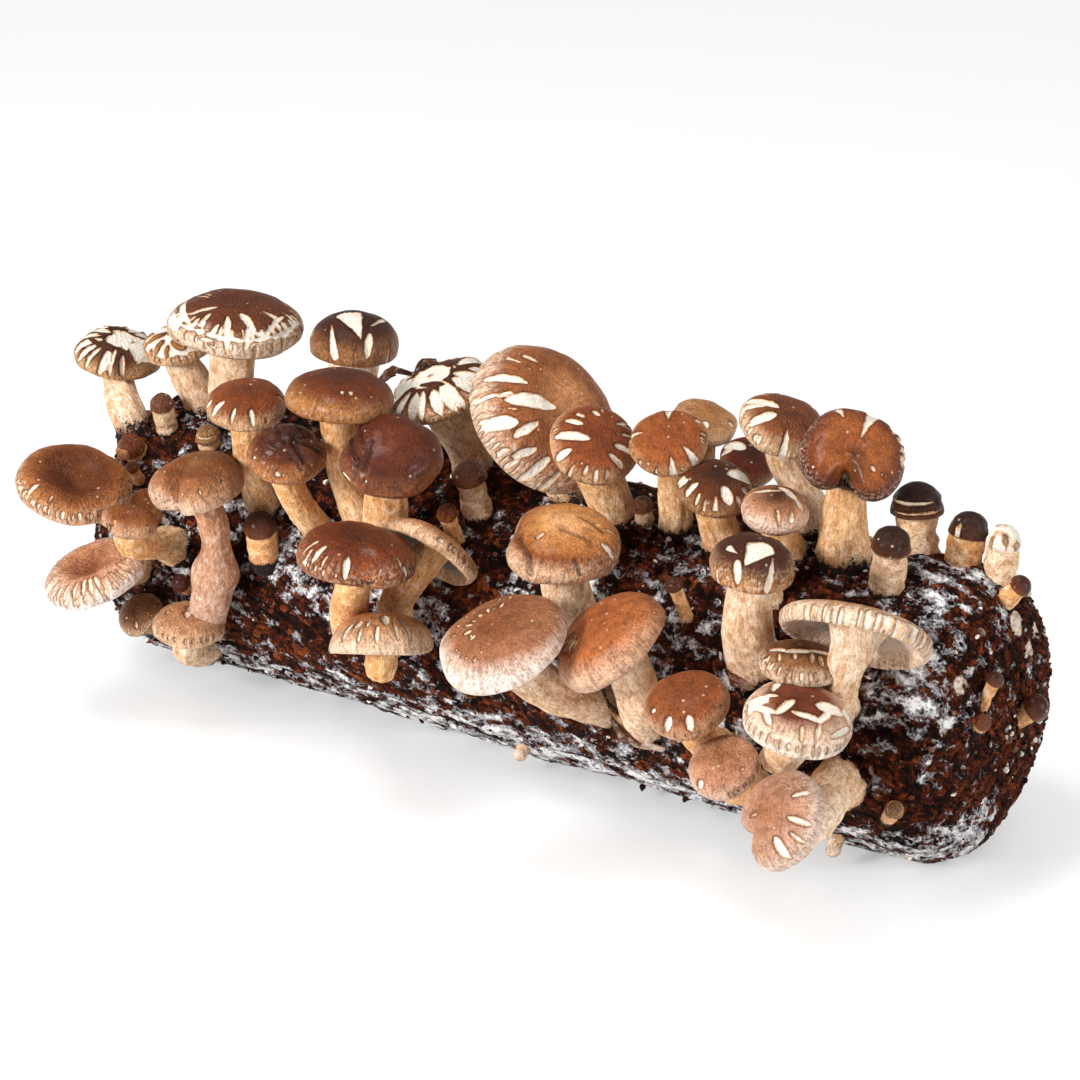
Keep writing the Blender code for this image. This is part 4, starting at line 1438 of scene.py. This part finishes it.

# %% [markdown]
# ## The sawdust's finish
# Crumbs of several browns lie side by side, so a cell pattern gives each its own
# colour, and the crevices between them are painted nearly black, as painted shade. Over them goes the white
# of the fungus, bluish where it is thin. The end face has reddish fibres and pinkish lumps where the
# fungus is thick.

# %% Sawdust
def sawdust_finish():
    made = Finish("sawdust", roughness=0.85, specular=0.1)
    place = made.places()
    white = made.attribute("white")
    swirl = made.add("ShaderNodeTexNoise", None, {"Vector": place, "Scale": 240.0, "Detail": 2.0}, 1)
    shifted = {0: swirl, 1: (0.0026,) * 3, 2: place}
    swirled = made.add("ShaderNodeVectorMath", {"operation": "MULTIPLY_ADD"}, shifted)
    crumb_gap = made.cells(swirled, 380.0)
    dust = made.cells(place, 1200.0).beside("Color")
    fine = made.cloud(place, 900.0, 4, 0.7)
    broad = made.cloud(place, 60.0, 3, 0.6)
    tone = crumb_gap.beside("Color") * 0.45 + dust * 0.25 + fine * 0.4 + broad * 0.5
    brown = made.ramp(tone, "0.52 0a0302", "0.72 220a04", "0.88 54200c", "1.0 86431f")
    fibres = made.cloud(place, (300, 520, 190), 4, 0.7, 1.2)
    reddish = made.mix(fibres.step(0.50, 0.72) * made.attribute("end_face"), brown, paint("7a3212"))
    # Painted shade: the crevices between crumbs are painted nearly black.
    dark = made.mix(made.attribute("pit") * 0.85, reddish, paint("060201"))
    blots = made.cells(swirled, (147, 210, 210), "SMOOTH_F1")
    tufts = made.cloud(swirled, (110.5, 170, 170), 4, 0.64, 0.4) - 0.5
    threads = made.cloud(swirled, 620.0, 3, 0.62, 0.8) - 0.5
    cover = tufts * 0.85 + (0.42 - blots) * 0.4 + threads * 0.5 + white
    thick = cover.step(0.0, 0.24)
    fluffy = thick * 0.55 + fine * 0.5 + threads * 0.4
    fluff = made.ramp(fluffy, "0.18 716c6f", "0.44 aaa7aa", "0.74 f6f3f0")
    colour = made.mix(cover.step(-0.02, 0.05) * 0.93, dark, fluff)
    lump_gap = made.cells(swirled, (88, 110, 110))
    cream = (lump_gap.beside("Color") * 0.6 - lump_gap * 0.5 + made.attribute("cream")).step(0.60, 0.66)
    lumps = made.mix(fine.step(0.35, 0.6), paint("c8a48c"), paint("f2e2d2"))
    made.give("Base Color", made.mix(cream, colour, lumps))
    raised = (tufts * 0.85 + threads * 0.5 + 0.04 + white).step(-0.02, 0.05)
    made.bump((1 - crumb_gap) * 0.8 + fine * 0.7 + raised * 0.6 + dust * 0.4, 0.0012)
    return made.material


finished(log, "sawdust", "log", sawdust_finish())
print("finish:", log.data.materials[0].name)

# %% [markdown]
# ## Pins and buttons
# Between the mushrooms stand pins that have hardly begun: a stalk a few mm long
# with a dark head. Each is a copy of a lighter tube, whose radius swells into a
# head near the tip.

# %% Where the pins stand, and how they look
PIN_LOOKS = {
    "brown": Look("4a281a 63341f 8c5434", "slits 7 0 360 .5 .95 .6", flecks=0.1, stem="cream"),
    "dark": Look("3c1c0e 4e2610 744022", flecks=0, gloss=0.2),
    "notched": Look("2a140d 3a1c12 643a26", "slit 285 .5 .95 1, 318 .45 .98 1.2", flecks=0, stem="cream"),
    "banded": Look(
        "26120c 34190f 5a3020",
        "arc 200 350 .5 1.3, 215 380 .8 1; slit 20 .4 .95 1.4",
        flecks=0, stem="cream",
    ),
    "split": Look("28130c 341a10 52291a", "wedge 262 .3 1 3, 10 .5 1 1.6; slit 330 .6 .95 .9", flecks=0),
    "ragged": Look(
        "5a3422 b89878 e8d8c4",
        "bare 0 360 .1 1.1; plate 300 .5 2.6 .8, 340 .7 2 1, 250 .6 2.4 .7",
        stem="cream",
    ),
    "ringed": Look("6a4428 b08050 5a3018", "arc 0 359 .45 .7", stem="golden"),
    "rusty": Look("5a2c16 6e3a1e 8a5430", flecks=0),
    "tan": Look("8a4c2a b07848 d8a878", "arc 20 120 .6 .8", flecks=0, stem="golden"),
    "pale": Look("d8b8a0 e8ccb8 f0dccc", flecks=0, stem="cream"),
}
Pin = namedtuple("Pin", "root tip head stem look")
# Each row is the root and the tip in mm, the head's radius, the stalk's radius and the look.
PIN_ROWS = """
-154 -23 92  -152 -29 108  4.5 4.0 brown
-144 -45 67  -143 -54 79  5.0 5.0 tan
-125 -50 45  -124 -58 51  3.5 3.0 dark
-91 -48 64  -89 -53 83  6.0 6.0 dark
-132 -26 91  -131 -29 100  4.5 4.5 ringed
-161 -32 84  -160 -40 92  5.0 5.0 rusty
-154 -40 77  -152 -48 87  2.6 2.2 rusty
-15 -37 83  -15 -43 99  3.8 3.0 rusty
-12 -27 91  -13 -33 112  6.0 5.0 brown
81 -40 78  79 -48 95  3.2 2.2 dark
48 -14 97  48 -17 107  3.8 2.8 brown
107 -31 87  109 -37 112  5.6 4.0 brown
142 -16 95  145 -19 118  6.6 5.8 notched
139 12 96  137 13 122  8.9 6.8 banded
155 12 95  157 15 115  6.8 6.6 split
168 14 88  169 15 113  6.2 5.4 ragged
172 6 87  181 8 99  3.8 3.2 dark
178 -18 60  186 -21 77  2.9 2.1 dark
181 -24 58  185 -26 63  3.0 2.2 rusty
177 4 46  192 4 59  4.8 3.3 dark
161 -45 29  168 -54 38  3.2 2.5 ringed
138 -35 12  138 -41 6  2.8 2.8 pale
12 -34 12  12 -39 7  2.6 2.6 pale
"""


def pin_in(row):
    *numbers, look = row.split()
    x, y, z, tip_x, tip_y, tip_z, head, stem = map(float, numbers)
    return Pin(np.array([x, y, z]), np.array([tip_x, tip_y, tip_z]), head, stem, look)


PINS = [pin_in(row) for row in PIN_ROWS.strip().splitlines()]
print("pins:", len(PINS))

# %% [markdown]
# The pin's head has splits like a cap's, so it is measured the same way. The head
# takes the cap's skin, the stalk the stem's flesh, each face by its own place.

# %% Growing pins
PIN_DEPTH = 4.0
PIN_SIDES = 28
PIN_GROOVE = 0.4
TIP_RING = 0.012
TUBE_START = math.radians(161.4)
pin_tube = tube_blank("pin_blank", PIN_SIDES, 34)


def grow_pin(name, pin, seed):
    thing = placed(name, pin_tube.thing.data.copy())
    look = PIN_LOOKS[pin.look]
    angle = pin_tube.angle
    ahead = unit(pin.tip - pin.root)
    length = np.linalg.norm(pin.tip - pin.root)
    reach = pin_tube.way * (PIN_DEPTH + length)
    risen = np.maximum(reach - PIN_DEPTH, 0)
    from_tip = PIN_DEPTH + length - reach
    crown = pin.head * 1.2
    dome = np.sqrt(np.clip(1 - (1 - np.clip(from_tip / crown, 0, 1)) ** 2.4, TIP_RING, 1)) * pin.head
    ring = round_places(angle, reach / 5)
    stalk = pin.stem * (1 + 0.14 * cloud(ring * 2, 1.0, seed)) + 1.2 * np.exp(-risen / 1.6)
    under = smooth(crown * 0.98, crown * 1.06, from_tip)
    radius = dome * (1 - under) + np.minimum(stalk, pin.head * 0.92) * under
    radius = radius * (1 + 0.07 * cloud(ring * 3, 1.0, seed + 1))
    way = np.clip(from_tip / crown, 0, 1.6)
    flat = Blank(None, angle + TUBE_START, None, None, way, None, columns_of(angle, PIN_SIDES))
    flesh = np.where(way < 1.05, measure_splits(look, flat, pin.head * 1.4, seed), -2.0)
    radius = radius - PIN_GROOVE * smooth(-0.3, 0.5, flesh) * smooth(0, 0.2, way)
    bend_tube(thing, np.array([pin.root - ahead * PIN_DEPTH, pin.root, pin.tip]), radius, pin_tube)
    head = 1 - under
    skin = three_tones(look.skin, np.clip(way, 0, 1)) * head[:, None]
    record(
        thing, skin=skin + paints(STEM_TONES[look.stem])[1] * under[:, None], open_flesh=flesh,
        fleck=look.flecks * head, gill=0, gloss=(0.1 + look.gloss) * head, way=way * 0.4,
        around=ring * [0.4, 0.4, 1], foot=np.exp(-risen / 2.5),
    )
    thing.data.materials.append(CAP_SKIN)
    thing.data.materials.append(STEM_FLESH)
    centres = np.empty(len(thing.data.polygons) * 3)
    thing.data.polygons.foreach_get("center", centres)
    gone = (centres.reshape(-1, 3) / MM - pin.root) @ ahead
    thing.data.polygons.foreach_set("material_index", (gone < length - crown * 1.02).astype(int))
    return thing


grown_pins = [grow_pin(f"pin_{number:02d}", pin, number + 300) for number, pin in enumerate(PINS)]
pins = joined(grown_pins, "pins_and_buttons")
finished(pins, "young_flesh", "log")
print("pins grown:", len(grown_pins))

# %% [markdown]
# ## Torn flaps
# Where mushrooms were crowded or picked, strips of skin and flesh hang at their feet,
# and shards of dry skin stand up from one cracked cap. A strip is the pins' tube
# again, pressed flat, narrowed towards its ends and frayed along its edges.

# %% Strips of skin
FLAP_THICKNESS = 0.8
Flap = namedtuple("Flap", "line width colours")
FLAPS = (
    Flap("58 -52 62, 59 -60 55, 62 -60 50, 66 -58 46", 1.7, "2c1818 4a2c2a 5c3a34"),
    Flap("58 -54 50, 65 -58 43, 72 -57 37, 79 -51 34", 4.2, "b07a52 d09c74 f4e6da"),
    Flap("62 -57 44, 68 -61 40, 74 -58 37", 2.2, "4a302c 6e4a40 7e5a4c"),
    Flap("-50 -12 131, -55 -16 133, -60 -20 128", 2.0, "3a1e14 5a3320 7a4a2e"),
    Flap("-49 -12 132, -46 -11 136, -42 -9 137", 1.5, "2e1810 4a2a1c 6a4028"),
    Flap("-40 -10 134, -33 -9 136, -26 -10 133", 1.6, "2e1810 5a3422 8a5a3c"),
    Flap("100 -46 70, 106 -54 68, 112 -53 67, 116 -50 68", 3.6, "5a2a18 7a4028 f4e2cc"),
    Flap("-168 -28 88, -164 -40 86, -158 -42 88", 3.4, "7a3e24 b4693c c88a60"),
)


def grow_flap(name, flap, seed):
    thing = placed(name, pin_tube.thing.data.copy())
    angle, t = pin_tube.angle, pin_tube.way
    line = np.array(rows_in(flap.line))
    ring = round_places(angle, t * distances_along(line)[-1] / 3)
    wide = flap.width * (0.35 + 0.65 * np.sin(math.pi * np.clip(t, 0.04, 0.92)))
    wide = wide * (1 + 0.4 * rough(ring, 0.8, seed, 2))
    flat = FLAP_THICKNESS * wide / np.hypot(FLAP_THICKNESS * np.cos(angle), wide * np.sin(angle))
    bend_tube(thing, line, flat, pin_tube)
    skin = three_tones(flap.colours, np.clip(t + 0.2 * cloud(ring, 0.6, seed), 0, 1))
    record(thing, skin=skin, around=ring, foot=0)
    thing.data.materials.append(STEM_FLESH)
    return thing


grown_flaps = [grow_flap(f"flap_{number}", flap, number + 400) for number, flap in enumerate(FLAPS)]
flaps = joined(grown_flaps, "torn_flaps")
finished(flaps, "young_flesh", "log")
print("flaps:", len(FLAPS))

# %% [markdown]
# ## Crumbs and chips
# Where a stem breaks through, it lifts a collar of crumbs, and loose chips stand out
# of the log all over. One chip is an icosphere, squashed and turned at random for
# each copy, half sunk in the surface. It has only twenty faces, because hundreds of
# them are needed. All the chips are one mesh.

# %% The chip
nothing_selected()
bpy.ops.mesh.primitive_ico_sphere_add(subdivisions=1, radius=MM)
chip_blank = bpy.context.object
chip_points = points_of(chip_blank)
chip_faces = np.array([face.vertices[:] for face in chip_blank.data.polygons])
bpy.data.objects.remove(chip_blank)


def chips_mesh(name, places, ways, sizes, seed):
    dice = np.random.default_rng(seed)
    count, corners = len(places), len(chip_points)
    shapes = chip_points[None] * dice.uniform(0.45, 1.25, (count, 1, 3))
    shapes = shapes * (1 + 0.25 * dice.uniform(-1, 1, (count, corners, 1)))
    turns = np.linalg.qr(dice.normal(0, 1, (count, 3, 3)))[0]
    turns = turns * np.sign(np.linalg.det(turns))[:, None, None]
    shapes = np.einsum("nij,nkj->nki", turns, shapes) * sizes[:, None, None]
    shapes = shapes + places[:, None] + (ways * sizes[:, None] * 0.25)[:, None]
    faces = chip_faces[None] + (np.arange(count) * corners)[:, None, None]
    mesh = bpy.data.meshes.new(name)
    mesh.from_pydata((shapes.reshape(-1, 3) * MM).tolist(), [], faces.reshape(-1, 3).tolist())
    return placed(name, mesh)


def chip_finish():
    made = Finish("chips", roughness=0.8, specular=0.15)
    fine = made.cloud(made.places(), 1100.0, 3, 0.7)
    tint = made.mix(fine.step(0.35, 0.65), (0.5, 0.45, 0.4, 1), (1.35, 1.35, 1.35, 1))
    made.give("Base Color", made.tinted(made.attribute("skin", "Color"), tint))
    made.bump(fine, 0.0008, 1.0)
    return made.material


print("chip:", len(chip_faces), "faces")

# %% [markdown]
# Some chips go in a ring round each foot, and the others anywhere but low down. Each
# place is moved to the log's nearest point, because the crust there may be higher.

# %% Chips round the feet and over the log
CHIPS_A_FOOT = 20
LOOSE_CHIPS = 1500
LOWEST_CHIP = 5
CHIP_COLOURS = "120503 2a0f07 4a2010 0c0402 7c5a48 f0e8e0 1a0904 6b3418"


def ring_places(grown, seed):
    """Spots on a ring round a foot, in the plane that touches the log there."""
    dice = np.random.default_rng(seed)
    middle, out_of_log = surface_point(grown.foot)
    turns = dice.uniform(0, 2 * math.pi, CHIPS_A_FOOT)
    reach = grown.stem[1] + dice.uniform(0.4, 3.6, CHIPS_A_FOOT)
    return middle + laid_flat(turns, reach) @ np.array([[1, 0, 0], np.cross(out_of_log, [1, 0, 0])])


def log_places(wanted, seed):
    """The log's own surface points nearest to those wanted, and the way out of the log there."""
    dice = np.random.default_rng(seed)
    nearest = [int(np.argmin(((points - spot) ** 2).sum(axis=1))) for spot in wanted]
    return points[nearest] + dice.normal(0, 0.3, (len(nearest), 3)), outward[nearest]


dice = np.random.default_rng(77)
rings = [ring_places(grown, 500 + k) for k, grown in enumerate(ALL_GROWN)]
loose = points[dice.integers(0, len(points), LOOSE_CHIPS)]
places, ways = log_places(np.vstack([*rings, loose[loose[:, 2] > LOWEST_CHIP]]), 78)
ringed = len(rings) * CHIPS_A_FOOT
sizes = np.r_[dice.uniform(0.7, 1.7, ringed), dice.uniform(0.5, 1.3, len(places) - ringed)]
chips = chips_mesh("loose_chips", places, ways, sizes, 79)
colours = paints(CHIP_COLOURS)
chip_paints = colours[dice.integers(0, len(colours), len(places))]
record(chips, skin=np.repeat(chip_paints, len(chip_points), axis=0))
finished(chips, "sawdust", "log", chip_finish())
print("chips:", len(places))

# %% [markdown]
# ## Clearing up
# The blanks have done their work and go.

# %% The end
for blank in (LARGE_CAP, MEDIUM_CAP, SMALL_CAP, stem_tube, pin_tube):
    bpy.data.objects.remove(blank.thing)
